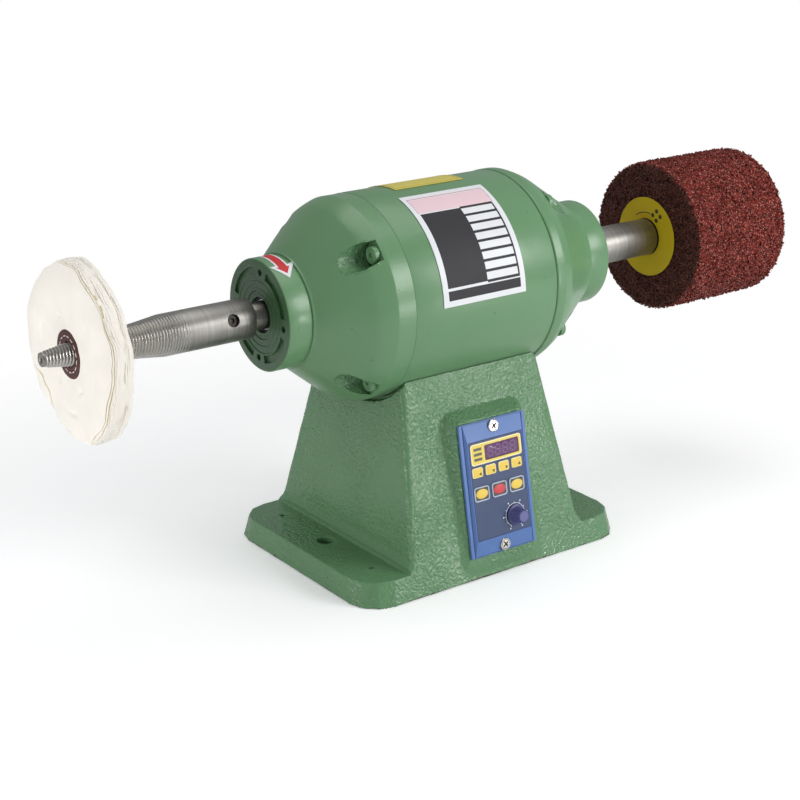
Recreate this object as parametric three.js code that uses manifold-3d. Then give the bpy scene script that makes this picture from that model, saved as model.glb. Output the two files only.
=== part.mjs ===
// Bench polishing machine: an enclosed electric motor cradled on a cast iron base, with a threaded taper
// spindle for cloth wheels at one end of its shaft, an arbor with a flap drum at the other, and a speed
// controller let into the front of the base. Millimetres.
// The shaft runs along X, the drum is at +X, the controller faces -Y, and the origin is the centre of the
// base's underside.

import * as THREE from "three";
import { mergeVertices } from "three/addons/utils/BufferGeometryUtils.js";
import Module from "manifold-3d";

const wasm = await Module();
wasm.setup();

// Fits that every piece shares
const seatGap = 0.3; // left between two pieces that touch on the real machine
const slipGap = 0.5; // round a piece that drops into a pocket
const overrun = 3; // how far a cutting shape runs past what it cuts

// Shaft line
const shaftHeight = 201.5;

// Cast base
const flangeLength = 242;
const flangeDepth = 186.2;
const flangeThickness = 18.8;
const flangeCornerRadius = 24;
const flangeEndDraft = 2.6;
const earLength = 42.2;
const saddleInset = 1;
const pedestalTopDepth = 107.1;
const pedestalEdgeRadius = 4;
const pedestalFilletRadius = 8;
const castingWall = 9;
const saddleWall = 10;
const saddleLandInset = 3.8;
const rimRelief = 2.2;
const earHoleInset = 26.5;
const earHoleRadius = 6;
const spotHoleInset = 33.5;
const spotHoleRadius = 1.8;
const spotHoleDepth = 6;
const wireHoleRadius = 7;

// Base cover
const coverThickness = 2.5;
const coverLip = 4;

// Saddle bolts
const saddleBoltSpacing = 68;
const saddleBoltRadius = 4;
const saddleBoltHeadRim = 2.5;
const saddleBoltHeadHeight = 6;
const saddleBoltGrip = 9;

// Motor housing
const housingRadius = 74.5;
const housingLength = 126.6;
const housingWall = 14.2;
const housingChamfer = 0.8;

// End bells
const bellLength = 81.3;
const neckRadius = 40.1;
const neckLength = 18.6;
const neckEdge = 0.9;
const neckBoreClearance = 2.5;
const spigotLength = 3;
const spigotWall = 6;
const leftRimStep = 0.9;
const leftKneeStart = 16.4;
const leftKneeEnd = 29.7;
const leftKneeDrop = 6;
const rightRimProud = 0.5;
const rightKneeStart = 8;
const rightKneeEnd = 19;
const rightKneeDrop = 5;
const faceRecessRim = 6.1;
const faceRecessWidth = 6;
const faceRecessDepth = 1.2;
const faceDishWidth = 8;
const faceDishDepth = 0.9;
const faceHoleInset = 8.6;
const faceHoleRadius = 2;
const faceHoleDepth = 2.4;

// End bell bolts and the scooped pockets that they sit in
const bellBoltInset = 8;
const bellBoltSeat = 17;
const bellBoltRadius = 3;
const bellBoltHeadRim = 2;
const bellBoltHeadHeight = 4;
const bellBoltGrip = 13;
const scoopClearance = 5.5;
const scoopWall = 6;

// Shielded ball bearings, 47 across and 14 wide
const bearingOuterRadius = 23.5;
const bearingWidth = 14;
const raceWall = 3.9;
const shieldThickness = 1;
const shieldClearance = 0.5;
const leftBearingInset = 3.6;
const washerThickness = 1.1;
const washerWave = 0.3;
const washerWidth = 5.5;

// Stator
const statorLength = 70;
const statorBoreShare = 0.517;
const yokeShare = 0.393;
const slotWidth = 4.4;
const slotMouthWidth = 2.2;
const slotMouthDepth = 1.6;
const windingOverhang = 18;
const windingRingWidth = 15;

// Rotor
const airGap = 0.6;
const shaftRadius = 10;
const shaftShoulderStep = 2.5;
const rotorSeatStep = 4;
const shaftStubLength = 40;
const shaftChamfer = 1;
const cageRingWidth = 9;
const cageRingDepth = 8.4;

// Taper spindle on the left, for cloth wheels
const spindleWall = 4.2;
const spindleGap = 10.4;
const spindleStraightLength = 67;
const spindleTaperLength = 86.7;
const spindleTipChamfer = 1.4;
const setScrewStation = 17.9;
const setScrewHoleRadius = 4.6;
const setScrewClearance = 0.6;
const setScrewSocketRadius = 2;
const setScrewInset = 1;

// Places along the taper, as shares of its length, and the radius at each, as shares of the sleeve's.
const taperPlaceShares = [0, 0.208, 0.78, 1];
const taperRadiusShares = [1, 0.841, 0.552, 0.317];

// Cloth wheel
const buffRadius = 61;
const buffThickness = 16;
const buffFaceStation = 132.4;
const buffHubRadius = 17;
const buffRimThickness = 11;
const buffWave = 1.5;
const leatherRadius = 17.4;
const leatherThickness = 1.6;

// Arbor on the right, and the drum on it
const arborWall = 4.4;
const arborGap = 1.5;
const arborLength = 74;
const arborStudRadius = 9.5;
const arborTipLength = 22;
const drumRadius = 60;
const drumWidth = 99;
const drumEdgeRadius = 3;
const drumCoreWall = 5.8;
const drumCoreProud = 1.7;
const drumLabelRadius = 32;
const labelThickness = 0.5;
const clampWasherWidth = 11.2;
const clampWasherThickness = 3;
const arborNutWall = 2.2;
const arborNutThickness = 13;

// Controller panel
const panelWidth = 60.4;
const panelHeight = 99.6;
const panelCentre = 1.6;
const panelFoot = 16.9;
const padFootProud = 1;
const padHeadProud = 11.2;
const padMargin = 1.2;
const padFootMargin = 7;
const padSpread = 5.6;
const padCornerRadius = 5;
const padSpreadCornerRadius = 8;
const bezelRimThickness = 2;
const bezelRimWidth = 1.9;
const bezelGrooveWidth = 0.8;
const bezelGrooveDepth = 0.6;
const bezelCornerRadius = 0.6;
const faceProud = 4.1;
const faceSideMargin = 5.55;
const faceFoot = 12.6;
const faceHeadMargin = 13.5;
const faceThickness = 1;
const controllerSideMargin = 5.2;
const controllerEndMargin = 10.8;
const controllerDepth = 38;
const controllerWall = 2;
const boardThickness = 1.6;
const boardInset = 2;
const panelScrewInset = 5.2;
const panelScrewHeadRim = 2.5;
const panelScrewHeadHeight = 1.6;
const panelScrewRadius = 1.9;
const panelScrewLength = 10;
const screwSeatInset = 0.6;

// Display window
const windowLeftMargin = 14.05;
const windowRightMargin = 4.05;
const windowHeight = 10.8;
const windowThickness = 0.8;
const windowLedge = 1.5;

// Keys
const keyTravel = 0.5;
const keyProud = 0.8;
const keyCornerRadius = 1.2;
const keyStemRadius = 1.6;
const smallKeyGap = 2.3;
const smallKeyHeight = 7.5;
const largeKeyGap = 2.7;
const largeKeyHeight = 10.7;
const largeKeyDomeProud = 0.3;
const largeKeyRimWidth = 1.3;

// Speed knob and its potentiometer
const knobHeight = 10.4;
const knobSkirtRadius = 8;
const knobSkirtHeight = 1.3;
const knobBodyRadius = 6.6;
const knobTopRadius = 4.2;
const knobShaftRadius = 3;
const bushingWall = 0.7;
const potRadius = 8;
const potHeight = 5;

// Places on the face, as shares of its height from the foot and of its width from the left
const windowRowShare = 0.869;
const smallKeyRowShare = 0.691;
const largeKeyRowShare = 0.4735;
const knobRowShare = 0.1673;
const smallKeyFirstShare = 0.1136;
const smallKeyPitchShare = 0.2434;
const largeKeyFirstShare = 0.1501;
const largeKeyPitchShare = 0.3286;
const knobColumnShare = 0.7302;

// Cable gland on the back
const glandHeight = 40;
const glandAcross = -30;
const glandBoreRadius = 4.2;
const glandWall = 3.6;
const glandFlangeWidth = 2.2;
const glandFlangeThickness = 5;
const glandDomeWall = 5;
const glandDomeTipWall = 1.9;
const glandDomeLength = 9;
const glandThreadProud = 5.5;
const glandNutThickness = 3.6;
const glandNutWall = 2.9;

// Plates and labels on the motor
const plateThickness = 0.5;
const namePlateLeftMargin = 23.1;
const namePlateRightMargin = 30.3;
const topLabelLeftMargin = 29.9;
const topLabelRightMargin = 35.9;
const arrowWidth = 9;
const arrowEdgeMargin = 0.5;

// Facets round each kind of turned piece
const housingSides = 44;
const bellSides = 32;
const statorSides = 24;
const rotorSides = 20;
const bearingSides = 16;
const shaftSides = 16;
const spindleSides = 20;
const washerSides = 16;
const knobSides = 16;
const boltSides = 8;
const holeSides = 8;
const scoopSides = 16;
const buffSides = 36;
const drumSides = 36;
const cornerSteps = 3;
const drumEdgeSteps = 2;

// Counts
const bellBoltCount = 4;
const slotCount = 12;
const smallKeyCount = 4;
const largeKeyCount = 3;
const hexSides = 6;

// Angles round the shaft, in degrees from the front, rising over the top
const leftBoltAngle = 41;
const rightBoltAngle = 55;
const faceHoleAngle = 85;
const faceRecessMargin = 13;
const namePlateFootAngle = 2.7;
const namePlateHeadAngle = 73.5;
const topLabelFootAngle = 83.7;
const topLabelHeadAngle = 110;
const arrowTipAngle = 50.5;
const arrowHeadAngle = 68;
const arrowTailAngle = 100;
const setScrewAngle = 18.8;
const arborScrewAngle = 200;

// Colours, roughness and metalness
const finishes = {
  castEnamel: [0x5c8a66, 0.55, 0.1],
  enamel: [0x6a9a76, 0.35, 0.1],
  steel: [0xa8a6a2, 0.35, 0.9],
  darkSteel: [0x5a5a5c, 0.45, 0.9],
  zinc: [0xb8bcc0, 0.4, 0.8],
  laminate: [0x7d7f86, 0.5, 0.8],
  copper: [0xb46a3c, 0.45, 0.8],
  cloth: [0xf0eadf, 0.95, 0],
  leather: [0x4a2a26, 0.8, 0],
  abrasive: [0x7a3d3a, 0.95, 0],
  core: [0x26221f, 0.7, 0],
  yellowCard: [0xc9b51c, 0.6, 0],
  bezelPlastic: [0x5378b4, 0.45, 0],
  faceFilm: [0x43517e, 0.5, 0],
  keyYellow: [0xf0d060, 0.5, 0],
  keyRed: [0xd8484c, 0.5, 0],
  keySilver: [0xb9c0cc, 0.45, 0.3],
  windowTint: [0x5c3a60, 0.15, 0],
  knobPlastic: [0x3d4274, 0.5, 0],
  blackPlastic: [0x222326, 0.6, 0],
  boardGreen: [0x1f6b3c, 0.6, 0],
  plateWhite: [0xf2f2f0, 0.4, 0.1],
  labelYellow: [0xd9c52e, 0.5, 0],
  arrowRed: [0xdc3238, 0.5, 0],
};

const quarterTurn = Math.PI / 2;
const degrees = THREE.MathUtils.degToRad;

// Sizes that several pieces take from one another
const housingBoreRadius = housingRadius - housingWall;
const leftRimRadius = housingRadius - leftRimStep;
const rightRimRadius = housingRadius + rightRimProud;
const bellBoltCircleRadius = housingRadius - bellBoltInset;
const bellBoltHeadRadius = bellBoltRadius + bellBoltHeadRim;
const scoopRadius = bellBoltHeadRadius + scoopClearance;
const sleeveBoreRadius = shaftRadius + seatGap;
const shaftShoulderRadius = shaftRadius + shaftShoulderStep;
const neckBoreRadius = shaftRadius + neckBoreClearance;

// Solids and booleans

// The closed mesh of a geometry as a solid that can be joined and cut.
function asSolid(geometry) {
  const bare = new THREE.BufferGeometry();
  bare.setAttribute("position", geometry.getAttribute("position").clone());
  bare.setIndex(geometry.getIndex());
  const merged = mergeVertices(bare);
  const index = merged.getIndex().array;
  const triVerts = [];
  for (let i = 0; i < index.length; i += 3) {
    const [a, b, c] = [index[i], index[i + 1], index[i + 2]];
    if (a !== b && b !== c && c !== a) {
      triVerts.push(a, b, c);
    }
  }
  return new wasm.Manifold(
    new wasm.Mesh({
      numProp: 3,
      vertProperties: merged.getAttribute("position").array,
      triVerts: new Uint32Array(triVerts),
    }),
  );
}

function asGeometry(solid) {
  const { vertProperties, triVerts } = solid.getMesh();
  const geometry = new THREE.BufferGeometry();
  geometry.setAttribute("position", new THREE.BufferAttribute(vertProperties, 3));
  geometry.setIndex(new THREE.BufferAttribute(triVerts, 1));
  geometry.computeVertexNormals();
  return geometry;
}

function cut(body, tools) {
  return asGeometry(tools.reduce((solid, tool) => solid.subtract(asSolid(tool)), asSolid(body)));
}

function join(pieces) {
  const [first, ...others] = pieces;
  return asGeometry(others.reduce((solid, piece) => solid.add(asSolid(piece)), asSolid(first)));
}

// A solid of revolution about X. The profile lists [x, radius] corners, and either starts and ends on the
// axis or closes on itself.
function turned(profile, sides) {
  const points = profile.map(([x, radius]) => new THREE.Vector2(radius, x));
  if (THREE.ShapeUtils.area(points) < 0) {
    points.reverse();
  }
  if (points[0].x > 0) {
    points.push(points[0].clone());
  }
  return new THREE.LatheGeometry(points, sides).rotateZ(-quarterTurn);
}

// A plain rod along X from one x to another.
function rod(from, to, radius, sides) {
  return turned(
    [
      [from, 0],
      [from, radius],
      [to, radius],
      [to, 0],
    ],
    sides,
  );
}

// A tube along X.
function tube(from, to, innerRadius, outerRadius, sides) {
  return turned(
    [
      [from, innerRadius],
      [from, outerRadius],
      [to, outerRadius],
      [to, innerRadius],
    ],
    sides,
  );
}

// A rod or tube that stands along Z instead.
function upright(geometry) {
  return geometry.rotateY(-quarterTurn);
}

function extruded(shape, depth, curveSegments) {
  return new THREE.ExtrudeGeometry(shape, { depth, bevelEnabled: false, curveSegments });
}

// A flat outline of straight sides round a circle, with the first corner at the given angle.
function polygon(radius, sides, firstAngle) {
  const points = [];
  for (let i = 0; i < sides; i += 1) {
    const angle = firstAngle + (i / sides) * 2 * Math.PI;
    points.push(new THREE.Vector2(radius * Math.cos(angle), radius * Math.sin(angle)));
  }
  return new THREE.Shape(points);
}

function roundHole(shape, radius) {
  const hole = new THREE.Path();
  hole.absarc(0, 0, radius, 0, 2 * Math.PI, true);
  shape.holes.push(hole);
}

// The corners of a rounded rectangle about (0, 0), anticlockwise, as [across, up] pairs.
function roundedRectangle(halfWidth, halfHeight, radius, steps) {
  const quarters = [
    [1, 1],
    [-1, 1],
    [-1, -1],
    [1, -1],
  ];
  const points = [];
  quarters.forEach(([sideways, upward], quarter) => {
    for (let step = 0; step <= steps; step += 1) {
      const angle = (quarter + step / steps) * quarterTurn;
      points.push([
        sideways * (halfWidth - radius) + radius * Math.cos(angle),
        upward * (halfHeight - radius) + radius * Math.sin(angle),
      ]);
    }
  });
  return points;
}

function roundedShape(halfWidth, halfHeight, radius, steps) {
  const points = roundedRectangle(halfWidth, halfHeight, radius, steps);
  return new THREE.Shape(points.map(([across, up]) => new THREE.Vector2(across, up)));
}

// The index of the four-sided bands between rings of points, each ring with the same count.
function bandIndex(rings, count, closed) {
  const index = [];
  const bands = closed ? rings : rings - 1;
  for (let ring = 0; ring < bands; ring += 1) {
    const above = ((ring + 1) % rings) * count;
    for (let i = 0; i < count; i += 1) {
      const next = (i + 1) % count;
      index.push(ring * count + i, ring * count + next, above + next);
      index.push(ring * count + i, above + next, above + i);
    }
  }
  return index;
}

function geometryOf(rings, index) {
  const positions = rings.flat().flatMap((point) => point.toArray());
  const geometry = new THREE.BufferGeometry();
  geometry.setAttribute("position", new THREE.Float32BufferAttribute(positions, 3));
  geometry.setIndex(index);
  return geometry;
}

// A solid through a stack of convex rings, each anticlockwise as seen from the last one's side.
function loft(rings) {
  const count = rings[0].length;
  const index = bandIndex(rings.length, count, false);
  const last = (rings.length - 1) * count;
  for (let i = 1; i + 1 < count; i += 1) {
    index.push(0, i + 1, i);
    index.push(last, last + i, last + i + 1);
  }
  return geometryOf(rings, index);
}

// A ring-shaped solid: the sections follow one another and the last one joins the first.
function hoop(sections) {
  return geometryOf(sections, bandIndex(sections.length, sections[0].length, true));
}

// A piece of the scene: one named mesh with its own material.
function piece(name, geometry, finish) {
  const [color, roughness, metalness] = finishes[finish];
  const material = new THREE.MeshStandardMaterial({ color, roughness, metalness });
  const mesh = new THREE.Mesh(geometry, material);
  mesh.name = name;
  return mesh;
}

// Base casting: a flange with an ear at each end, and a hollow tapered pedestal whose top is a saddle

const saddleRadius = housingRadius + seatGap;
const shoulderHeight = shaftHeight - Math.sqrt(saddleRadius ** 2 - (pedestalTopDepth / 2) ** 2);
const saddleFloor = shaftHeight - saddleRadius;
const pedestalFootLength = flangeLength - 2 * earLength;
const pedestalTopLength = housingLength - 2 * saddleInset;
const cavityCeiling = saddleFloor - saddleWall;

// Half the depth of the base at a height: the front and back faces run straight from foot to shoulder.
function halfDepthAt(height) {
  return flangeDepth / 2 - ((flangeDepth - pedestalTopDepth) / 2) * (height / shoulderHeight);
}

// Half the length of the pedestal at a height.
function halfLengthAt(height) {
  const rise = (height - flangeThickness) / (shoulderHeight - flangeThickness);
  return pedestalFootLength / 2 - ((pedestalFootLength - pedestalTopLength) / 2) * rise;
}

function levelRing(halfLength, halfDepth, radius, height) {
  const points = roundedRectangle(halfLength, halfDepth, radius, cornerSteps);
  return points.map(([x, y]) => new THREE.Vector3(x, y, height));
}

function flangeSolid() {
  return loft([
    levelRing(flangeLength / 2, halfDepthAt(0), flangeCornerRadius, 0),
    levelRing(
      flangeLength / 2 - flangeEndDraft,
      halfDepthAt(flangeThickness),
      flangeCornerRadius,
      flangeThickness,
    ),
  ]);
}

function pedestalSolid() {
  const rings = [];
  const buried = flangeThickness - overrun;
  rings.push(
    levelRing(
      halfLengthAt(flangeThickness) + pedestalFilletRadius,
      halfDepthAt(buried),
      pedestalEdgeRadius,
      buried,
    ),
  );
  for (let step = 0; step <= cornerSteps; step += 1) {
    const angle = (step / cornerSteps) * quarterTurn;
    const height = flangeThickness + pedestalFilletRadius * (1 - Math.cos(angle));
    const spread = pedestalFilletRadius * (1 - Math.sin(angle));
    rings.push(
      levelRing(halfLengthAt(height) + spread, halfDepthAt(height), pedestalEdgeRadius, height),
    );
  }
  const top = shoulderHeight + overrun;
  rings.push(levelRing(halfLengthAt(top), halfDepthAt(top), pedestalEdgeRadius, top));
  return loft(rings);
}

// Panel pad: a raised land on the front face that the controller is screwed to

const padTop = panelFoot + panelHeight;
const padBottom = panelFoot - padFootMargin;
const padFootDepth = halfDepthAt(0) + padFootProud;
const padHeadDepth = halfDepthAt(padTop) + padHeadProud;
const panelTilt = Math.atan2(padFootDepth - padHeadDepth, padTop);

// How far in front of the shaft's plane the pad lies at a height.
function padDepthAt(height) {
  return padFootDepth - (padFootDepth - padHeadDepth) * (height / padTop);
}

function frontRing(halfWidth, bottom, top, radius, depthAt) {
  const middle = (bottom + top) / 2;
  const points = roundedRectangle(halfWidth, (top - bottom) / 2, radius, cornerSteps);
  return points.map(
    ([across, up]) => new THREE.Vector3(panelCentre + across, -depthAt(middle + up), middle + up),
  );
}

function padSolid() {
  const halfWidth = panelWidth / 2 + padMargin;
  const low = padBottom - padSpread;
  const high = padTop + padSpread;
  const buriedDepthAt = (height) => halfDepthAt(height) - overrun;
  return loft([
    frontRing(halfWidth + padSpread, low, high, padSpreadCornerRadius, buriedDepthAt),
    frontRing(halfWidth + padSpread, low, high, padSpreadCornerRadius, halfDepthAt),
    frontRing(halfWidth, padBottom, padTop, padCornerRadius, padDepthAt),
  ]);
}

// The panel's own frame: its origin at the lower left corner of the pad that the bezel covers, X across,
// Y up the slope and Z out of it.
const panelFrame = new THREE.Matrix4()
  .makeRotationX(quarterTurn - panelTilt)
  .setPosition(panelCentre - panelWidth / 2, -padDepthAt(panelFoot), panelFoot);

const controllerWidth = panelWidth - 2 * controllerSideMargin;
const controllerHeight = panelHeight - 2 * controllerEndMargin;

function controllerCutout() {
  const halfWidth = controllerWidth / 2 + slipGap;
  const halfHeight = controllerHeight / 2 + slipGap;
  return new THREE.BoxGeometry(2 * halfWidth, 2 * halfHeight, controllerDepth + overrun)
    .translate(panelWidth / 2, panelHeight / 2, (overrun - controllerDepth) / 2)
    .applyMatrix4(panelFrame);
}

function panelScrewHole(up) {
  return upright(rod(-panelScrewLength - seatGap, overrun, panelScrewRadius + seatGap, holeSides))
    .translate(panelWidth / 2, up, 0)
    .applyMatrix4(panelFrame);
}

// The back face's own frame: Z out of the face, with its origin where the gland's axis meets it.
const backLean = Math.atan2(halfDepthAt(0) - halfDepthAt(shoulderHeight), shoulderHeight);
const glandFrame = new THREE.Matrix4()
  .makeRotationX(-quarterTurn + backLean)
  .setPosition(glandAcross, halfDepthAt(glandHeight), glandHeight);

const glandThreadRadius = glandBoreRadius + glandWall;

function glandHole() {
  const reach = castingWall + overrun;
  return upright(rod(-reach, overrun, glandThreadRadius + seatGap, washerSides)).applyMatrix4(glandFrame);
}

function pedestalCavity() {
  const ring = (height) =>
    levelRing(
      halfLengthAt(height) - castingWall,
      halfDepthAt(height) - castingWall,
      pedestalEdgeRadius,
      height,
    );
  return loft([ring(-overrun), ring(cavityCeiling)]);
}

function coverRecess(lip, top) {
  const ring = (height) =>
    levelRing(
      halfLengthAt(0) - castingWall + lip,
      halfDepthAt(0) - castingWall + lip,
      pedestalEdgeRadius + lip,
      height,
    );
  return loft([ring(-overrun), ring(top)]);
}

function saddleCutters() {
  const reach = pedestalFootLength / 2;
  const land = housingLength / 2 - saddleLandInset;
  const rimRadius = Math.max(leftRimRadius, rightRimRadius) + rimRelief;
  return [
    rod(-reach, reach, saddleRadius, housingSides).translate(0, 0, shaftHeight),
    rod(land, reach, rimRadius, housingSides).translate(0, 0, shaftHeight),
    rod(-reach, -land, rimRadius, housingSides).translate(0, 0, shaftHeight),
  ];
}

function flangeHoles() {
  const holes = [];
  for (const side of [-1, 1]) {
    const x = side * (flangeLength / 2 - earHoleInset);
    holes.push(
      upright(rod(-overrun, flangeThickness + overrun, earHoleRadius, spindleSides)).translate(x, 0, 0),
    );
    for (const end of [-1, 1]) {
      holes.push(
        upright(
          rod(flangeThickness - spotHoleDepth, flangeThickness + overrun, spotHoleRadius, boltSides),
        ).translate(x, end * (flangeDepth / 2 - spotHoleInset), 0),
      );
    }
  }
  return holes;
}

function saddleHoles() {
  const hole = (x, radius) =>
    upright(rod(cavityCeiling - overrun, shaftHeight, radius, holeSides)).translate(x, 0, 0);
  return [
    hole(0, wireHoleRadius),
    hole(-saddleBoltSpacing / 2, saddleBoltRadius + seatGap),
    hole(saddleBoltSpacing / 2, saddleBoltRadius + seatGap),
  ];
}

function baseCasting() {
  const outside = join([flangeSolid(), pedestalSolid(), padSolid()]);
  return cut(outside, [
    pedestalCavity(),
    coverRecess(coverLip, coverThickness + seatGap),
    ...saddleCutters(),
    ...flangeHoles(),
    ...saddleHoles(),
    controllerCutout(),
    panelScrewHole(panelScrewInset),
    panelScrewHole(panelHeight - panelScrewInset),
    glandHole(),
  ]);
}

// Bottom cover: a flat sheet flush with the flange's underside
function bottomCover() {
  const ring = (height) =>
    levelRing(
      halfLengthAt(0) - castingWall + coverLip - seatGap,
      halfDepthAt(0) - castingWall + coverLip - seatGap,
      pedestalEdgeRadius + coverLip - seatGap,
      height,
    );
  return loft([ring(0), ring(coverThickness)]);
}

// Saddle bolt: its head against the cavity's ceiling and its end in the housing's wall
function saddleBolt() {
  const headTop = cavityCeiling - seatGap;
  const tip = shaftHeight - housingRadius + saddleBoltGrip;
  const headRadius = saddleBoltRadius + saddleBoltHeadRim;
  return upright(
    turned(
      [
        [headTop - saddleBoltHeadHeight, 0],
        [headTop - saddleBoltHeadHeight, headRadius],
        [headTop, headRadius],
        [headTop, saddleBoltRadius],
        [tip, saddleBoltRadius],
        [tip, 0],
      ],
      holeSides,
    ),
  );
}

// Motor housing: a thick cast tube, bolted to at both ends

// The places of the bell bolts round the shaft, in a frame whose X points out of the motor.
function bellBoltAngles(firstAngle) {
  const angles = [];
  for (let i = 0; i < bellBoltCount; i += 1) {
    angles.push(degrees(firstAngle) + (i / bellBoltCount) * 2 * Math.PI);
  }
  return angles;
}

// Moves a piece on the shaft line out to a radius, at an angle from the front that rises over the top.
function swung(geometry, radius, angle) {
  return geometry.translate(0, -radius * Math.cos(angle), radius * Math.sin(angle));
}

function boltHoleCutters(firstAngle, from, to, radius) {
  return bellBoltAngles(firstAngle).map((angle) =>
    swung(rod(from, to, radius, boltSides), bellBoltCircleRadius, angle),
  );
}

// The left end is the right end turned half round Z, which mirrors the angles from the front.
const leftTurnedBoltAngle = 180 - leftBoltAngle;

function motorHousing() {
  const end = housingLength / 2;
  const shell = turned(
    [
      [-end, housingBoreRadius],
      [-end, housingRadius - housingChamfer],
      [-end + housingChamfer, housingRadius],
      [end - housingChamfer, housingRadius],
      [end, housingRadius - housingChamfer],
      [end, housingBoreRadius],
    ],
    housingSides,
  );
  const threadEnd = end - bellBoltGrip - seatGap;
  const holeRadius = bellBoltRadius + seatGap;
  const rightHoles = boltHoleCutters(rightBoltAngle, threadEnd, end + overrun, holeRadius);
  const leftHoles = boltHoleCutters(leftTurnedBoltAngle, threadEnd, end + overrun, holeRadius);
  const below = [0, -saddleBoltSpacing / 2, saddleBoltSpacing / 2];
  const radii = [wireHoleRadius, saddleBoltRadius + seatGap, saddleBoltRadius + seatGap];
  const depths = [
    housingBoreRadius - overrun,
    housingRadius - saddleBoltGrip - seatGap,
    housingRadius - saddleBoltGrip - seatGap,
  ];
  const seats = below.map((x, i) =>
    upright(rod(-housingRadius - overrun, -depths[i], radii[i], holeSides)).translate(x, 0, 0),
  );
  return cut(shell, [...rightHoles, ...leftHoles.map((hole) => hole.rotateZ(Math.PI)), ...seats]);
}

// End bells: each a rim, a cone and a bearing neck, in a frame whose X points out of the motor and whose
// origin is the end of the housing

const coneFoot = bellLength - neckLength;
const bearingShoulder = bellLength - leftBearingInset + seatGap;
const bellCavityRadius = bellBoltCircleRadius - scoopRadius - scoopWall;
const faceDishRadius = neckBoreRadius + faceDishWidth;
const faceRecessOuterRadius = neckRadius - faceRecessRim;

// The bell's outside from its rim to the cone: the knee is a curve tangent to both.
function kneePoints(rimRadius, kneeStart, kneeEnd, kneeDrop) {
  const kneeEndRadius = rimRadius - kneeDrop;
  const slope = (kneeEndRadius - neckRadius) / (coneFoot - kneeEnd);
  const bend = kneeEnd - kneeDrop / slope;
  const curve = new THREE.QuadraticBezierCurve(
    new THREE.Vector2(kneeStart, rimRadius),
    new THREE.Vector2(bend, rimRadius),
    new THREE.Vector2(kneeEnd, kneeEndRadius),
  );
  return curve.getPoints(cornerSteps).map((point) => [point.x, point.y]);
}

function bellOutside(rimRadius, kneeStart, kneeEnd, kneeDrop) {
  return turned(
    [
      [-spigotLength, 0],
      [-spigotLength, housingBoreRadius - seatGap],
      [seatGap, housingBoreRadius - seatGap],
      [seatGap, rimRadius],
      ...kneePoints(rimRadius, kneeStart, kneeEnd, kneeDrop),
      [coneFoot, neckRadius],
      [bellLength - neckEdge, neckRadius],
      [bellLength, neckRadius - neckEdge],
      [bellLength, 0],
    ],
    bellSides,
  );
}

// The hollow inside a bell, with the bearing's seat and the hole that the shaft comes out through.
function bellInside() {
  const bearingMouth = bearingShoulder - bearingWidth - washerThickness - overrun;
  return turned(
    [
      [-spigotLength - overrun, 0],
      [-spigotLength - overrun, housingBoreRadius - spigotWall],
      [bellBoltSeat, bellCavityRadius],
      [bearingMouth, bearingOuterRadius + seatGap],
      [bearingShoulder, bearingOuterRadius + seatGap],
      [bearingShoulder, neckBoreRadius],
      [bellLength - faceDishDepth, neckBoreRadius],
      [bellLength - faceDishDepth, faceDishRadius - faceDishDepth],
      [bellLength + faceDishDepth, faceDishRadius + faceDishDepth],
      [bellLength + faceDishDepth, 0],
    ],
    bearingSides,
  );
}

// One of the four arcs that are sunk into the neck's face between its holes.
function faceRecess(angle) {
  const spread = 2 * Math.PI / bellBoltCount - degrees(2 * faceRecessMargin);
  const arc = new THREE.Shape();
  arc.absarc(0, 0, faceRecessOuterRadius, -spread / 2, spread / 2, false);
  arc.absarc(0, 0, faceRecessOuterRadius - faceRecessWidth, spread / 2, -spread / 2, true);
  return extruded(arc, faceRecessDepth + overrun, cornerSteps)
    .rotateZ(angle)
    .rotateY(quarterTurn)
    .translate(bellLength - faceRecessDepth, 0, 0);
}

function faceCutters() {
  const cutters = [];
  for (let i = 0; i < bellBoltCount; i += 1) {
    const turn = (i / bellBoltCount) * 2 * Math.PI;
    const hole = rod(bellLength - faceHoleDepth, bellLength + overrun, faceHoleRadius, boltSides);
    cutters.push(swung(hole, neckRadius - faceHoleInset, degrees(faceHoleAngle) + turn));
    cutters.push(faceRecess(degrees(faceHoleAngle) + turn + Math.PI / bellBoltCount));
  }
  return cutters;
}

function endBell(rimRadius, kneeStart, kneeEnd, kneeDrop, firstAngle) {
  const scoops = bellBoltAngles(firstAngle).map((angle) =>
    swung(rod(bellBoltSeat, bellLength, scoopRadius, scoopSides), bellBoltCircleRadius, angle),
  );
  return cut(bellOutside(rimRadius, kneeStart, kneeEnd, kneeDrop), [
    bellInside(),
    ...scoops,
    ...boltHoleCutters(firstAngle, -overrun, bellBoltSeat + overrun, bellBoltRadius + seatGap),
    ...faceCutters(),
  ]);
}

// Bell bolt: a low round head on the pocket's seat and a shank into the housing
function bellBolt(angle) {
  const seat = bellBoltSeat + seatGap;
  const bolt = turned(
    [
      [-bellBoltGrip, 0],
      [-bellBoltGrip, bellBoltRadius],
      [seat, bellBoltRadius],
      [seat, bellBoltHeadRadius],
      [seat + bellBoltHeadHeight, bellBoltHeadRadius],
      [seat + bellBoltHeadHeight, 0],
    ],
    boltSides,
  );
  return swung(bolt, bellBoltCircleRadius, angle);
}

// Ball bearings: an outer race that holds a shield at each side, and an inner race that turns in them. Each
// is made about the bearing's own middle.

const innerRaceRadius = sleeveBoreRadius + raceWall;

function innerRace() {
  const half = bearingWidth / 2;
  return tube(-half, half, sleeveBoreRadius, innerRaceRadius, bearingSides);
}

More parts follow.
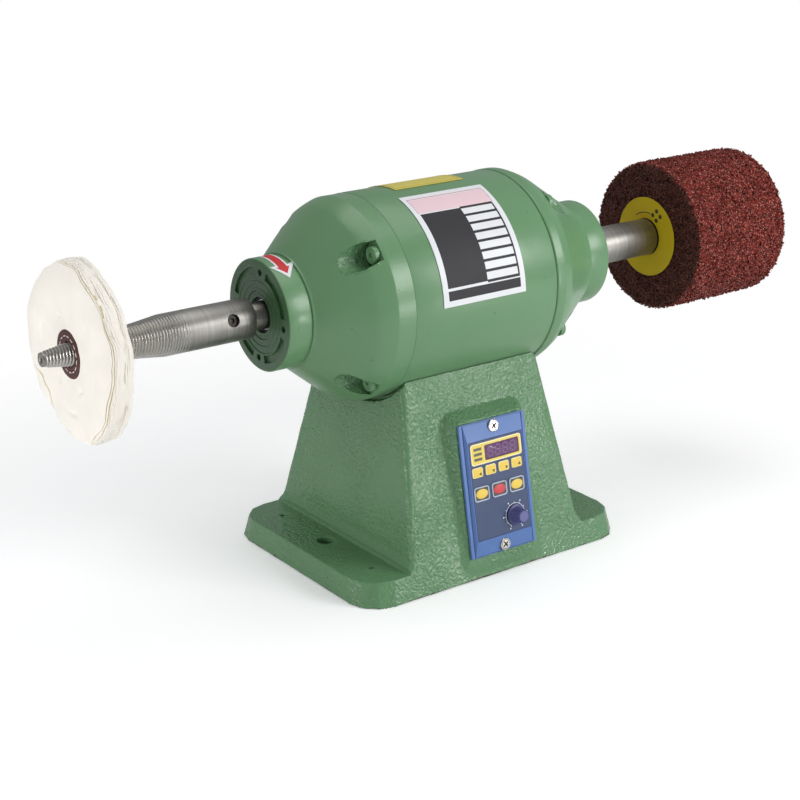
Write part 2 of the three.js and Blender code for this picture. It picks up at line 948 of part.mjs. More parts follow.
function outerRace() {
  const half = bearingWidth / 2;
  const shieldBack = half - shieldThickness;
  const shieldRadius = innerRaceRadius + shieldClearance;
  const raceRadius = bearingOuterRadius - raceWall;
  return turned(
    [
      [half, bearingOuterRadius],
      [half, shieldRadius],
      [shieldBack, shieldRadius],
      [shieldBack, raceRadius],
      [-shieldBack, raceRadius],
      [-shieldBack, shieldRadius],
      [-half, shieldRadius],
      [-half, bearingOuterRadius],
    ],
    bearingSides,
  );
}

// Preload washer: a thin ring with three waves, between the right bearing and its shoulder
function preloadWasher() {
  const sections = [];
  for (let i = 0; i < bearingSides; i += 1) {
    const angle = (i / bearingSides) * 2 * Math.PI;
    const lift = washerWave * Math.sin(3 * angle);
    const half = washerThickness / 2 - washerWave;
    const outward = new THREE.Vector3(0, Math.cos(angle), Math.sin(angle));
    const corner = (along, radius) => outward.clone().multiplyScalar(radius).setX(lift + along);
    sections.push([
      corner(-half, bearingOuterRadius - washerWidth),
      corner(half, bearingOuterRadius - washerWidth),
      corner(half, bearingOuterRadius),
      corner(-half, bearingOuterRadius),
    ]);
  }
  return hoop(sections);
}

// Stator: slotted laminations pressed into the housing, with the winding laid through the slots

const statorRadius = housingBoreRadius - seatGap;
const statorBoreRadius = statorRadius * statorBoreShare;
const slotFloorRadius = statorRadius - (statorRadius - statorBoreRadius) * yokeShare;

// A slot's outline in the plane across the shaft: a narrow mouth at the bore and a wide chamber. The last
// point is the middle of the tooth that follows it.
function slotPoints(angle) {
  const mouth = slotMouthWidth / 2;
  const chamber = slotWidth / 2;
  const start = statorBoreRadius + slotMouthDepth;
  const outline = [
    [Math.sqrt(statorBoreRadius ** 2 - mouth ** 2), -mouth],
    [start, -mouth],
    [start + chamber - mouth, -chamber],
    [slotFloorRadius, -chamber],
    [slotFloorRadius, chamber],
    [start + chamber - mouth, chamber],
    [start, mouth],
    [Math.sqrt(statorBoreRadius ** 2 - mouth ** 2), mouth],
  ];
  const origin = new THREE.Vector2(0, 0);
  const points = outline.map(([out, across]) => new THREE.Vector2(out, across));
  points.push(new THREE.Vector2(statorBoreRadius, 0).rotateAround(origin, Math.PI / slotCount));
  return points.map((point) => point.rotateAround(origin, angle));
}

function statorCore() {
  const outline = polygon(statorRadius, statorSides, 0);
  const bore = [];
  for (let i = 0; i < slotCount; i += 1) {
    bore.push(...slotPoints((i / slotCount) * 2 * Math.PI));
  }
  outline.holes.push(new THREE.Path(bore));
  return extruded(outline, statorLength, 1).translate(0, 0, -statorLength / 2).rotateY(quarterTurn);
}

function statorWinding() {
  const innerRadius = statorBoreRadius + slotMouthDepth + (slotWidth - slotMouthWidth) / 2 + seatGap;
  const outerRadius = slotFloorRadius - seatGap;
  const halfBar = slotWidth / 2 - seatGap;
  const reach = statorLength / 2 + windingOverhang;
  const ringStart = reach - windingRingWidth;
  const windingTaper = (outerRadius - innerRadius) / cornerSteps / 2;
  const ring = (side) =>
    turned(
      [
        [side * ringStart, innerRadius],
        [side * ringStart, outerRadius],
        [side * reach, outerRadius - windingTaper],
        [side * reach, innerRadius + windingTaper],
      ],
      rotorSides,
    );
  const pieces = [ring(-1), ring(1)];
  for (let i = 0; i < slotCount; i += 1) {
    const length = 2 * (ringStart + overrun);
    const flat = (outerRadius - innerRadius) * Math.cos(Math.PI / slotCount) - seatGap;
    const bar = new THREE.BoxGeometry(length, 2 * halfBar, flat);
    bar.translate(0, 0, (innerRadius + outerRadius) / 2);
    pieces.push(bar.rotateX(quarterTurn - (i / slotCount) * 2 * Math.PI));
  }
  return join(pieces);
}

// Rotor: laminations pressed on the shaft, with the cage's cast ring at each end of them

const rotorRadius = statorBoreRadius - airGap;

function rotorCore() {
  const half = statorLength / 2;
  const end = half + cageRingWidth;
  const bore = shaftRadius + rotorSeatStep + seatGap;
  const cageRingInnerRadius = rotorRadius - cageRingDepth;
  return turned(
    [
      [-half, bore],
      [-half, cageRingInnerRadius],
      [-end, cageRingInnerRadius],
      [-end, rotorRadius],
      [end, rotorRadius],
      [end, cageRingInnerRadius],
      [half, cageRingInnerRadius],
      [half, bore],
    ],
    rotorSides,
  );
}

// Motor shaft: one bar through the whole motor, with a bearing seat and a stub at each end

const neckFace = housingLength / 2 + bellLength;
const leftBearingCentre = -(housingLength / 2 + bearingShoulder - seatGap - bearingWidth / 2);
const washerCentre = housingLength / 2 + bearingShoulder - washerThickness / 2 - seatGap;
const rightBearingCentre = washerCentre - washerThickness / 2 - seatGap - bearingWidth / 2;

function motorShaft() {
  const shaftSeatRadius = shaftRadius + rotorSeatStep;
  const end = neckFace + shaftStubLength;
  const seat = statorLength / 2 + cageRingWidth;
  const leftShoulder = leftBearingCentre + bearingWidth / 2 + seatGap;
  const rightShoulder = rightBearingCentre - bearingWidth / 2 - seatGap;
  return turned(
    [
      [-end, 0],
      [-end, shaftRadius - shaftChamfer],
      [-end + shaftChamfer, shaftRadius],
      [leftShoulder, shaftRadius],
      [leftShoulder, shaftShoulderRadius],
      [-seat, shaftShoulderRadius],
      [-seat, shaftSeatRadius],
      [seat, shaftSeatRadius],
      [seat, shaftShoulderRadius],
      [rightShoulder, shaftShoulderRadius],
      [rightShoulder, shaftRadius],
      [end - shaftChamfer, shaftRadius],
      [end, shaftRadius - shaftChamfer],
      [end, 0],
    ],
    shaftSides,
  );
}

// Taper spindle: a sleeve over the left stub that runs out into a long taper. It is made pointing along
// +X from its mouth, and turned to point left.

const spindleRadius = sleeveBoreRadius + spindleWall;
const spindleMouth = neckFace + spindleGap;
const spindleTip = spindleStraightLength + spindleTaperLength;
const spindleBoreDepth = shaftStubLength - spindleGap + seatGap;
const setScrewRadius = setScrewHoleRadius - setScrewClearance;

// The stations of the taper from the sleeve's mouth, each with its radius.
function taperStations() {
  return taperPlaceShares.map((share, i) => [
    spindleStraightLength + spindleTaperLength * share,
    spindleRadius * taperRadiusShares[i],
  ]);
}

function taperRadiusAt(station) {
  const stations = taperStations();
  const next = stations.findIndex(([place]) => place > station);
  const [start, startRadius] = stations[next - 1];
  const [end, endRadius] = stations[next];
  return startRadius + ((endRadius - startRadius) * (station - start)) / (end - start);
}

// The hole for a set screw across a sleeve, swung to an angle from the front.
function crossHole(station, outerRadius, radius, angle) {
  const hole = upright(rod(0, outerRadius + overrun, radius, holeSides));
  return hole.rotateX(quarterTurn - angle).translate(station, 0, 0);
}

function setScrew(station, outerRadius, angle) {
  const start = sleeveBoreRadius;
  const head = outerRadius - setScrewInset;
  const screw = upright(rod(start, head, setScrewRadius, holeSides));
  const socket = upright(
    rod((start + head) / 2, head + overrun, setScrewSocketRadius, hexSides),
  );
  return cut(screw, [socket]).rotateX(quarterTurn - angle).translate(station, 0, 0);
}

function buffingSpindle() {
  const stations = taperStations();
  const [, tipRadius] = stations.pop();
  const body = turned(
    [
      [0, sleeveBoreRadius],
      [0, spindleRadius - shaftChamfer],
      [shaftChamfer, spindleRadius],
      ...stations,
      [spindleTip - spindleTipChamfer, tipRadius + spindleTipChamfer / 2],
      [spindleTip, tipRadius - spindleTipChamfer / 2],
      [spindleTip, 0],
      [spindleBoreDepth + shaftRadius / 2, 0],
      [spindleBoreDepth, sleeveBoreRadius],
    ],
    spindleSides,
  );
  const angle = Math.PI - degrees(setScrewAngle);
  return cut(body, [crossHole(setScrewStation, spindleRadius, setScrewHoleRadius, angle)]);
}

// Cloth wheel: a stack of cotton plies, sewn flat round its hole and loose and wavy at its rim

// Shares of the way from hub to rim, and of the rim's half thickness, down one side of the wheel.
const buffRingShares = [0, 0.45, 0.85, 1];
const buffThicknessShares = [1, 0.9, 0.75, 0.3];
const buffLobes = 5;
const buffPleats = 11;

function buffSection(i) {
  const angle = (i / buffSides) * 2 * Math.PI;
  const outward = new THREE.Vector3(0, Math.cos(angle), Math.sin(angle));
  const sway = buffWave * (Math.sin(buffLobes * angle) + Math.cos(2 * angle)) / 2;
  const ripple = (buffWave / 2) * Math.sin(buffPleats * angle + buffLobes);
  const middle = buffFaceStation - buffThickness / 2;
  const boreRadius = (station) => taperRadiusAt(station) + seatGap;
  const back = middle - buffThickness / 2;
  const corner = (station, radius) => outward.clone().multiplyScalar(radius).setX(station);
  const side = (sign) =>
    buffRingShares.map((share, ring) => {
      const flat = buffThickness / 2;
      const half = ring === 0 ? flat : (buffRimThickness / 2) * buffThicknessShares[ring] + ripple * share / 4;
      const radius = buffHubRadius + (buffRadius - buffWave - buffHubRadius) * share + ripple * share;
      return corner(middle + sway * share * share + sign * half, radius);
    });
  return [
    corner(back, boreRadius(back)),
    ...side(-1),
    ...side(1).reverse(),
    corner(buffFaceStation, boreRadius(buffFaceStation)),
  ];
}

function polishingBuff() {
  const sections = [];
  for (let i = 0; i < buffSides; i += 1) {
    sections.push(buffSection(i).reverse());
  }
  return hoop(sections);
}

// Leather washer against one face of the wheel.
function leatherWasher(face, side) {
  const from = face + side * seatGap;
  const to = from + side * leatherThickness;
  const bore = taperRadiusAt(Math.min(from, to)) + seatGap;
  return tube(from, to, bore, leatherRadius, washerSides);
}

// Arbor: a sleeve over the right stub that steps down to the stud that carries the drum

const arborRadius = sleeveBoreRadius + arborWall;
const arborStart = neckFace + arborGap;
const arborShoulder = arborStart + arborLength;
const drumCoreStart = arborShoulder + seatGap;
const drumStart = drumCoreStart + drumCoreProud;
const drumEnd = drumStart + drumWidth;
const washerStart = drumEnd + drumCoreProud + seatGap;
const nutStart = washerStart + clampWasherThickness + seatGap;
const arborScrewStation = arborStart + setScrewStation;
const studBoreRadius = arborStudRadius + seatGap;
const drumCoreRadius = studBoreRadius + drumCoreWall;

function arborSleeve() {
  const bore = sleeveBoreRadius;
  const boreEnd = neckFace + shaftStubLength + seatGap;
  const tip = washerStart + arborTipLength;
  const body = turned(
    [
      [arborStart, bore],
      [arborStart, arborRadius - shaftChamfer],
      [arborStart + shaftChamfer, arborRadius],
      [arborShoulder, arborRadius],
      [arborShoulder, arborStudRadius],
      [tip - shaftChamfer, arborStudRadius],
      [tip, arborStudRadius - shaftChamfer],
      [tip, 0],
      [boreEnd + shaftRadius / 2, 0],
      [boreEnd, bore],
    ],
    spindleSides,
  );
  const hole = crossHole(arborScrewStation, arborRadius, setScrewHoleRadius, degrees(arborScrewAngle));
  return cut(body, [hole]);
}

function drumCore() {
  const end = drumEnd + drumCoreProud;
  return tube(drumCoreStart, end, studBoreRadius, drumCoreRadius, washerSides);
}

function abrasiveDrum() {
  const edge = (x, side) => {
    const points = [];
    for (let step = 0; step <= drumEdgeSteps; step += 1) {
      const angle = (step / drumEdgeSteps) * quarterTurn;
      points.push([
        x + side * drumEdgeRadius * (1 - Math.sin(angle)),
        drumRadius - drumEdgeRadius * (1 - Math.cos(angle)),
      ]);
    }
    return points;
  };
  return turned(
    [
      [drumStart, drumCoreRadius + seatGap],
      ...edge(drumStart, 1).reverse(),
      ...edge(drumEnd, -1),
      [drumEnd, drumCoreRadius + seatGap],
    ],
    drumSides,
  );
}

function drumLabel() {
  const to = drumStart - seatGap;
  return tube(to - labelThickness, to, drumCoreRadius + seatGap, drumLabelRadius, washerSides);
}

function clampWasher() {
  const end = washerStart + clampWasherThickness;
  return tube(washerStart, end, studBoreRadius, studBoreRadius + clampWasherWidth, washerSides);
}

// A hexagon nut along Z from 0, by its bore and the least thickness of the wall round it.
function hexNut(boreRadius, wall, thickness) {
  const outline = polygon((2 * (boreRadius + wall)) / Math.sqrt(3), hexSides, 0);
  roundHole(outline, boreRadius);
  return extruded(outline, thickness, holeSides);
}

function arborNut() {
  const nut = hexNut(studBoreRadius, arborNutWall, arborNutThickness);
  return nut.rotateY(quarterTurn).translate(nutStart, 0, 0);
}

// Controller: everything from here to the knob is in the panel's own frame

const faceWidth = panelWidth - 2 * faceSideMargin;
const faceHeight = panelHeight - faceFoot - faceHeadMargin;
const faceFloor = faceProud - faceThickness - seatGap;
const bushingRadius = knobShaftRadius + seatGap + bushingWall;
const panelScrewHeadRadius = panelScrewRadius + panelScrewHeadRim;

function panelRing(inset, height) {
  const radius = Math.max(bezelCornerRadius - inset, bezelCornerRadius / 2);
  const points = roundedRectangle(panelWidth / 2 - inset, panelHeight / 2 - inset, radius, 1);
  return points.map(
    ([across, up]) => new THREE.Vector3(panelWidth / 2 + across, panelHeight / 2 + up, height),
  );
}

function faceRing(grow, height) {
  const points = roundedRectangle(
    faceWidth / 2 + grow,
    faceHeight / 2 + grow,
    bezelCornerRadius / 2,
    1,
  );
  return points.map(
    ([across, up]) =>
      new THREE.Vector3(faceSideMargin + faceWidth / 2 + across, faceFoot + faceHeight / 2 + up, height),
  );
}

// A key's or window's cut through the face film or the bezel, about a place on the face.
function facePocket(width, height, radius, across, up, from, to) {
  return extruded(roundedShape(width / 2, height / 2, radius, 1), to - from, 1).translate(
    faceSideMargin + across,
    faceFoot + up,
    from,
  );
}

function faceBore(radius, sides, across, up, from, to) {
  return upright(rod(from, to, radius, sides)).translate(faceSideMargin + across, faceFoot + up, 0);
}

function keyPlaces() {
  const places = [];
  const addRow = (count, firstShare, pitchShare, rowShare, gap, height) => {
    for (let i = 0; i < count; i += 1) {
      const across = (firstShare + i * pitchShare) * faceWidth;
      places.push([across, rowShare * faceHeight, pitchShare * faceWidth - gap, height]);
    }
  };
  addRow(
    smallKeyCount,
    smallKeyFirstShare,
    smallKeyPitchShare,
    smallKeyRowShare,
    smallKeyGap,
    smallKeyHeight,
  );
  addRow(
    largeKeyCount,
    largeKeyFirstShare,
    largeKeyPitchShare,
    largeKeyRowShare,
    largeKeyGap,
    largeKeyHeight,
  );
  return places;
}

const windowWidth = faceWidth - windowLeftMargin - windowRightMargin;
const windowCentreAcross = windowLeftMargin + windowWidth / 2;
const windowCentreUp = windowRowShare * faceHeight;
const knobAcross = knobColumnShare * faceWidth;
const knobUp = knobRowShare * faceHeight;

// Bezel: a moulded frame that rises from a thin rim, over a fine groove, to the face film's recess
function panelBezel() {
  const inner = bezelRimWidth + bezelGrooveWidth;
  const body = loft([
    panelRing(0, seatGap),
    panelRing(0, bezelRimThickness),
    panelRing(bezelRimWidth, bezelRimThickness),
    panelRing(bezelRimWidth, bezelRimThickness - bezelGrooveDepth),
    panelRing(inner, bezelRimThickness - bezelGrooveDepth),
    panelRing(inner, bezelRimThickness),
    faceRing(seatGap, faceProud),
  ]);
  const recess = loft([faceRing(0, faceFloor), faceRing(0, faceProud + overrun)]);
  const seatTop = bezelRimThickness + screwSeatInset;
  const screwCuts = [panelScrewInset, panelHeight - panelScrewInset].flatMap((up) => [
    upright(rod(seatTop, faceProud + overrun, panelScrewHeadRadius + seatGap, spindleSides)).translate(
      panelWidth / 2,
      up,
      0,
    ),
    upright(rod(-overrun, faceProud, panelScrewRadius + seatGap, holeSides)).translate(
      panelWidth / 2,
      up,
      0,
    ),
  ]);
  const stemHoles = keyPlaces().map(([across, up]) =>
    faceBore(keyStemRadius + seatGap, hexSides, across, up, -overrun, faceProud),
  );
  const windowHole = facePocket(
    windowWidth - 2 * windowLedge,
    windowHeight - 2 * windowLedge,
    keyCornerRadius,
    windowCentreAcross,
    windowCentreUp,
    -overrun,
    faceProud,
  );
  const bushingHole = faceBore(
    bushingRadius + seatGap,
    washerSides,
    knobAcross,
    knobUp,
    -overrun,
    faceProud,
  );
  return cut(body, [recess, ...screwCuts, ...stemHoles, windowHole, bushingHole]);
}

// Face film: the flat front that the keys and the window show through
function panelFace() {
  const from = faceFloor + seatGap;
  const film = loft([faceRing(-seatGap, from), faceRing(-seatGap, faceProud)]);
  const keyHoles = keyPlaces().map(([across, up, width, height]) =>
    facePocket(
      width + 2 * seatGap,
      height + 2 * seatGap,
      keyCornerRadius + seatGap,
      across,
      up,
      from - overrun,
      faceProud + overrun,
    ),
  );
  const windowHole = facePocket(
    windowWidth + 2 * seatGap,
    windowHeight + 2 * seatGap,
    keyCornerRadius,
    windowCentreAcross,
    windowCentreUp,
    from - overrun,
    faceProud + overrun,
  );
  const bushingHole = faceBore(
    bushingRadius + seatGap,
    washerSides,
    knobAcross,
    knobUp,
    from - overrun,
    faceProud + overrun,
  );
  return cut(film, [...keyHoles, windowHole, bushingHole]);
}

function displayWindow() {
  const from = faceFloor + seatGap;
  return facePocket(
    windowWidth,
    windowHeight,
    keyCornerRadius,
    windowCentreAcross,
    windowCentreUp,
    from,
    from + windowThickness,
  );
}

const boardTop = -boardInset;
const stemFoot = boardTop + keyTravel + seatGap;

// Key: a cap in the face film's cut-out on a stem that reaches down to the board
function panelKey(across, up, width, height) {
  const from = faceFloor + keyTravel + seatGap;
  const to = faceProud + keyProud;
  return join([
    facePocket(width, height, keyCornerRadius, across, up, from, to),
    upright(rod(stemFoot, to - keyProud / 2, keyStemRadius, hexSides)).translate(
      faceSideMargin + across,
      faceFoot + up,
      0,
    ),
  ]);
}

// The three larger keys carry a low oval dome inside a rim.
function domedKey(across, up, width, height) {
  const dome = new THREE.Shape();
  dome.absellipse(
    0,
    0,
    width / 2 - largeKeyRimWidth,
    height / 2 - largeKeyRimWidth,
    0,
    2 * Math.PI,
    false,
    0,
  );
  const from = faceProud;
  const to = faceProud + keyProud + largeKeyDomeProud;
  return join([
    panelKey(across, up, width, height),
    extruded(dome, to - from, holeSides).translate(faceSideMargin + across, faceFoot + up, from),
  ]);
}

// Controller housing: an open-fronted moulded box behind the bezel, through the cut-out in the casting
function controllerHousing() {
  const box = new THREE.BoxGeometry(controllerWidth, controllerHeight, controllerDepth);
  box.translate(panelWidth / 2, panelHeight / 2, -controllerDepth / 2);
  const inside = new THREE.BoxGeometry(
    controllerWidth - 2 * controllerWall,
    controllerHeight - 2 * controllerWall,
    controllerDepth,
  );
  inside.translate(panelWidth / 2, panelHeight / 2, controllerWall - controllerDepth / 2);
  return cut(box, [inside]);
}

function circuitBoard() {
  const board = new THREE.BoxGeometry(
    controllerWidth - 2 * (controllerWall + seatGap),
    controllerHeight - 2 * (controllerWall + seatGap),
    boardThickness,
  );
  board.translate(panelWidth / 2, panelHeight / 2, boardTop - boardThickness / 2);
  const hole = faceBore(
    bushingRadius + seatGap,
    washerSides,
    knobAcross,
    knobUp,
    -controllerDepth,
    overrun,
  );
  return cut(board, [hole]);
}

// Potentiometer: its can hangs under the board, and its bushing comes out through the face
function potentiometer() {
  const canTop = boardTop - boardThickness - seatGap;
  const body = upright(
    turned(
      [
        [canTop - potHeight, 0],
        [canTop - potHeight, potRadius],
        [canTop, potRadius],
        [canTop, bushingRadius],
        [faceProud + seatGap, bushingRadius],
        [faceProud + seatGap, knobShaftRadius + seatGap],
        [canTop - potHeight / 2, knobShaftRadius + seatGap],
        [canTop - potHeight / 2, 0],
      ],
      washerSides,
    ),
  );
  return body.translate(faceSideMargin + knobAcross, faceFoot + knobUp, 0);
}

// Knob: a skirted cap and the potentiometer's shaft, which turn together. It is made about its own axis.
const knobFoot = faceProud + 2 * seatGap;

function speedKnob() {
  const shaftEnd = boardTop - boardThickness;
  const top = faceProud + knobHeight;
  const skirtTop = knobFoot + knobSkirtHeight;
  return upright(
    turned(
      [
        [shaftEnd, 0],
        [shaftEnd, knobShaftRadius],
        [knobFoot, knobShaftRadius],
        [knobFoot, knobSkirtRadius],
        [skirtTop, knobSkirtRadius],
        [skirtTop, knobBodyRadius],
        [top, knobTopRadius],
        [top, 0],
      ],
      knobSides,
    ),
  );
}

function panelScrew(up) {
  const seat = bezelRimThickness + screwSeatInset + seatGap;
  return upright(
    turned(
      [
        [-panelScrewLength, 0],
        [-panelScrewLength, panelScrewRadius],
        [seat, panelScrewRadius],
        [seat, panelScrewHeadRadius],
        [seat + panelScrewHeadHeight / 2, panelScrewHeadRadius],
        [seat + panelScrewHeadHeight, panelScrewHeadRadius / 2],
        [seat + panelScrewHeadHeight, 0],
      ],
      holeSides,
    ),
  ).translate(panelWidth / 2, up, 0);
}

// Cable gland: a hexagon flange and dome outside, a thread through the wall and a locknut inside
function cableGland() {
  const domeTop = glandFlangeThickness + seatGap + glandDomeLength;
  const threadEnd = -castingWall - glandThreadProud;
  const domeRadius = glandBoreRadius + glandDomeWall;
  const shell = upright(
    turned(
      [
        [threadEnd, glandBoreRadius],
        [threadEnd, glandThreadRadius],
        [seatGap, glandThreadRadius],
        [seatGap, domeRadius],
        [glandFlangeThickness + seatGap + glandDomeLength / 2, domeRadius],
        [domeTop, glandBoreRadius + glandDomeTipWall],
        [domeTop, glandBoreRadius],
      ],
      washerSides,
    ),
  );
  const flange = hexNut(glandThreadRadius, glandFlangeWidth, glandFlangeThickness);
  flange.translate(0, 0, seatGap);
  return join([shell, flange]);
}

function glandNut() {
  const wallBack = -castingWall * Math.cos(backLean);
  return hexNut(glandThreadRadius + seatGap, glandNutWall, glandNutThickness).translate(
    0,
    0,
    wallBack - seatGap - glandNutThickness,
  );
}

// Plates: thin sheets that lie round the motor

// A sheet round the shaft line between two angles from the front, at a radius.
function curvedSheet(left, width, radius, footAngle, headAngle, steps) {
  const start = Math.PI - degrees(headAngle);
  const end = Math.PI - degrees(footAngle);
  const shape = new THREE.Shape();
  shape.absarc(0, 0, radius + plateThickness, start, end, false);
  shape.absarc(0, 0, radius, end, start, true);
  // The shape's X is the machine's Y and its Y is the height.
  return extruded(shape, width, steps)
    .applyMatrix4(
      new THREE.Matrix4().makeBasis(
        new THREE.Vector3(0, 1, 0),
        new THREE.Vector3(0, 0, 1),
        new THREE.Vector3(1, 0, 0),
      ),
    )
    .translate(left, 0, 0);
}

// Rotation arrow: a strip round the left neck that widens to a head and closes to a point
function rotationArrow() {
  const inner = neckRadius + seatGap;
  const outer = inner + plateThickness;
  const centre = -(neckFace - neckLength / 2);
  const headWidth = neckLength - 2 * arrowEdgeMargin;
  const section = (angle, halfWidth) => {
    const outward = new THREE.Vector3(0, -Math.cos(degrees(angle)), Math.sin(degrees(angle)));
    const corner = (across, radius) => outward.clone().multiplyScalar(radius).setX(centre + across);
    return [
      corner(-halfWidth, inner),
      corner(-halfWidth, outer),
      corner(halfWidth, outer),
      corner(halfWidth, inner),
    ];
  };
  const strip = (from, to, fromHalf, toHalf, steps) => {
    const rings = [];
    for (let step = 0; step <= steps; step += 1) {
      const share = step / steps;
      rings.push(section(from + (to - from) * share, fromHalf + (toHalf - fromHalf) * share));
    }
    return loft(rings);
  };
  const overlapAngle = arrowHeadAngle - (arrowHeadAngle - arrowTipAngle) / cornerSteps;
  const pointWidth = plateThickness;
  return join([
    strip(overlapAngle, arrowTailAngle, arrowWidth / 2, arrowWidth / 2, holeSides / 2),
    strip(arrowTipAngle, arrowHeadAngle, pointWidth / 2, headWidth / 2, cornerSteps),
  ]);
}

// The assembly

const machine = new THREE.Group();

function addBase() {
  machine.add(piece("base_casting", baseCasting(), "castEnamel"));
  machine.add(piece("bottom_cover", bottomCover(), "zinc"));
  const rear = new THREE.Group();
  rear.applyMatrix4(glandFrame);
  rear.add(piece("cable_gland", cableGland(), "blackPlastic"));
  rear.add(piece("gland_locknut", glandNut(), "blackPlastic"));
  machine.add(rear);
  const bolts = [
    ["saddle_bolt_left", -saddleBoltSpacing / 2],
    ["saddle_bolt_right", saddleBoltSpacing / 2],
  ];
  for (const [name, x] of bolts) {
    const bolt = piece(name, saddleBolt(), "zinc");
    bolt.position.x = x;
    machine.add(bolt);
  }
}

// One end of the motor in a group whose X points out of it.
function addEnd(side, bell, firstAngle, bearingCentre) {
  const end = new THREE.Group();
  end.position.x = side === "left" ? -housingLength / 2 : housingLength / 2;
  end.rotation.z = side === "left" ? Math.PI : 0;
  end.add(piece(`${side}_end_bell`, bell, "enamel"));
  bellBoltAngles(firstAngle).forEach((angle, i) => {
    end.add(piece(`${side}_bell_bolt_${i + 1}`, bellBolt(angle), "enamel"));
  });
  const bearing = new THREE.Group();
  bearing.position.x = Math.abs(bearingCentre) - housingLength / 2;
  bearing.add(piece(`${side}_bearing_outer_race`, outerRace(), "steel"));
  bearing.add(piece(`${side}_bearing_inner_race`, innerRace(), "steel"));
  end.add(bearing);
  return end;
}

function addMotor() {
  const motor = new THREE.Group();
  motor.position.z = shaftHeight;
  motor.add(piece("motor_housing", motorHousing(), "enamel"));
  const leftBell = endBell(
    leftRimRadius,
    leftKneeStart,
    leftKneeEnd,
    leftKneeDrop,
    leftTurnedBoltAngle,
  );
  const rightBell = endBell(
    rightRimRadius,
    rightKneeStart,
    rightKneeEnd,
    rightKneeDrop,
    rightBoltAngle,
  );
  motor.add(addEnd("left", leftBell, leftTurnedBoltAngle, leftBearingCentre));
  motor.add(addEnd("right", rightBell, rightBoltAngle, rightBearingCentre));
  const washer = piece("bearing_preload_washer", preloadWasher(), "steel");
  washer.position.x = washerCentre;
  motor.add(washer);
  motor.add(piece("stator_core", statorCore(), "laminate"));
  motor.add(piece("stator_winding", statorWinding(), "copper"));
  motor.add(piece("rotor_core", rotorCore(), "laminate"));
  motor.add(piece("motor_shaft", motorShaft(), "steel"));
  const sheetRadius = housingRadius + seatGap;
  const namePlate = curvedSheet(
    namePlateLeftMargin - housingLength / 2,
    housingLength - namePlateLeftMargin - namePlateRightMargin,
    sheetRadius,
    namePlateFootAngle,
    namePlateHeadAngle,
    holeSides,
  );
  const topLabel = curvedSheet(
    topLabelLeftMargin - housingLength / 2,
    housingLength - topLabelLeftMargin - topLabelRightMargin,
    sheetRadius,
    topLabelFootAngle,
    topLabelHeadAngle,
    hexSides,
  );
  motor.add(piece("name_plate", namePlate, "plateWhite"));
  motor.add(piece("top_label", topLabel, "labelYellow"));
  motor.add(piece("rotation_arrow", rotationArrow(), "arrowRed"));
  machine.add(motor);
}

function addLeftTooling() {
  const tooling = new THREE.Group();
  tooling.position.set(-spindleMouth, 0, shaftHeight);
  tooling.rotation.z = Math.PI;
  const screwAngle = Math.PI - degrees(setScrewAngle);
  tooling.add(piece("buffing_spindle", buffingSpindle(), "steel"));
  tooling.add(piece("spindle_set_screw", setScrew(setScrewStation, spindleRadius, screwAngle), "darkSteel"));
  tooling.add(piece("polishing_buff", polishingBuff(), "cloth"));
  tooling.add(piece("buff_outer_washer", leatherWasher(buffFaceStation, 1), "leather"));
  tooling.add(piece("buff_inner_washer", leatherWasher(buffFaceStation - buffThickness, -1), "leather"));
  machine.add(tooling);
}

function addRightTooling() {
  const tooling = new THREE.Group();
  tooling.position.z = shaftHeight;
  const screw = setScrew(arborScrewStation, arborRadius, degrees(arborScrewAngle));
  tooling.add(piece("arbor_sleeve", arborSleeve(), "steel"));
  tooling.add(piece("arbor_set_screw", screw, "darkSteel"));
  tooling.add(piece("drum_core", drumCore(), "core"));
  tooling.add(piece("abrasive_drum", abrasiveDrum(), "abrasive"));
  tooling.add(piece("drum_label", drumLabel(), "yellowCard"));
  tooling.add(piece("drum_clamp_washer", clampWasher(), "zinc"));
  tooling.add(piece("arbor_nut", arborNut(), "zinc"));
  machine.add(tooling);
}

function addController() {
  const panel = new THREE.Group();
  panel.applyMatrix4(panelFrame);
  panel.add(piece("controller_housing", controllerHousing(), "blackPlastic"));
  panel.add(piece("circuit_board", circuitBoard(), "boardGreen"));
  panel.add(piece("panel_bezel", panelBezel(), "bezelPlastic"));
  panel.add(piece("panel_face", panelFace(), "faceFilm"));
  panel.add(piece("display_window", displayWindow(), "windowTint"));
  panel.add(piece("panel_screw_top", panelScrew(panelHeight - panelScrewInset), "zinc"));
  panel.add(piece("panel_screw_bottom", panelScrew(panelScrewInset), "zinc"));
  panel.add(piece("potentiometer", potentiometer(), "zinc"));
  keyPlaces().forEach(([across, up, width, height], i) => {
    const large = i - smallKeyCount;
    if (large < 0) {
      panel.add(piece(`mode_key_${i + 1}`, panelKey(across, up, width, height), "keyYellow"));
    } else {
      const name = ["run_key", "stop_key", "jog_key"][large];
      const finish = name === "stop_key" ? "keyRed" : "keySilver";
      panel.add(piece(name, domedKey(across, up, width, height), finish));
    }
  });
  const knob = piece("speed_knob", speedKnob(), "knobPlastic");
  knob.position.set(faceSideMargin + knobAcross, faceFoot + knobUp, 0);
  panel.add(knob);
  machine.add(panel);
}

addBase();
addMotor();
addLeftTooling();
addRightTooling();
addController();

export default machine;
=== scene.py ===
import math
import random

import bmesh
import bpy
from mathutils import Matrix, Vector, noise


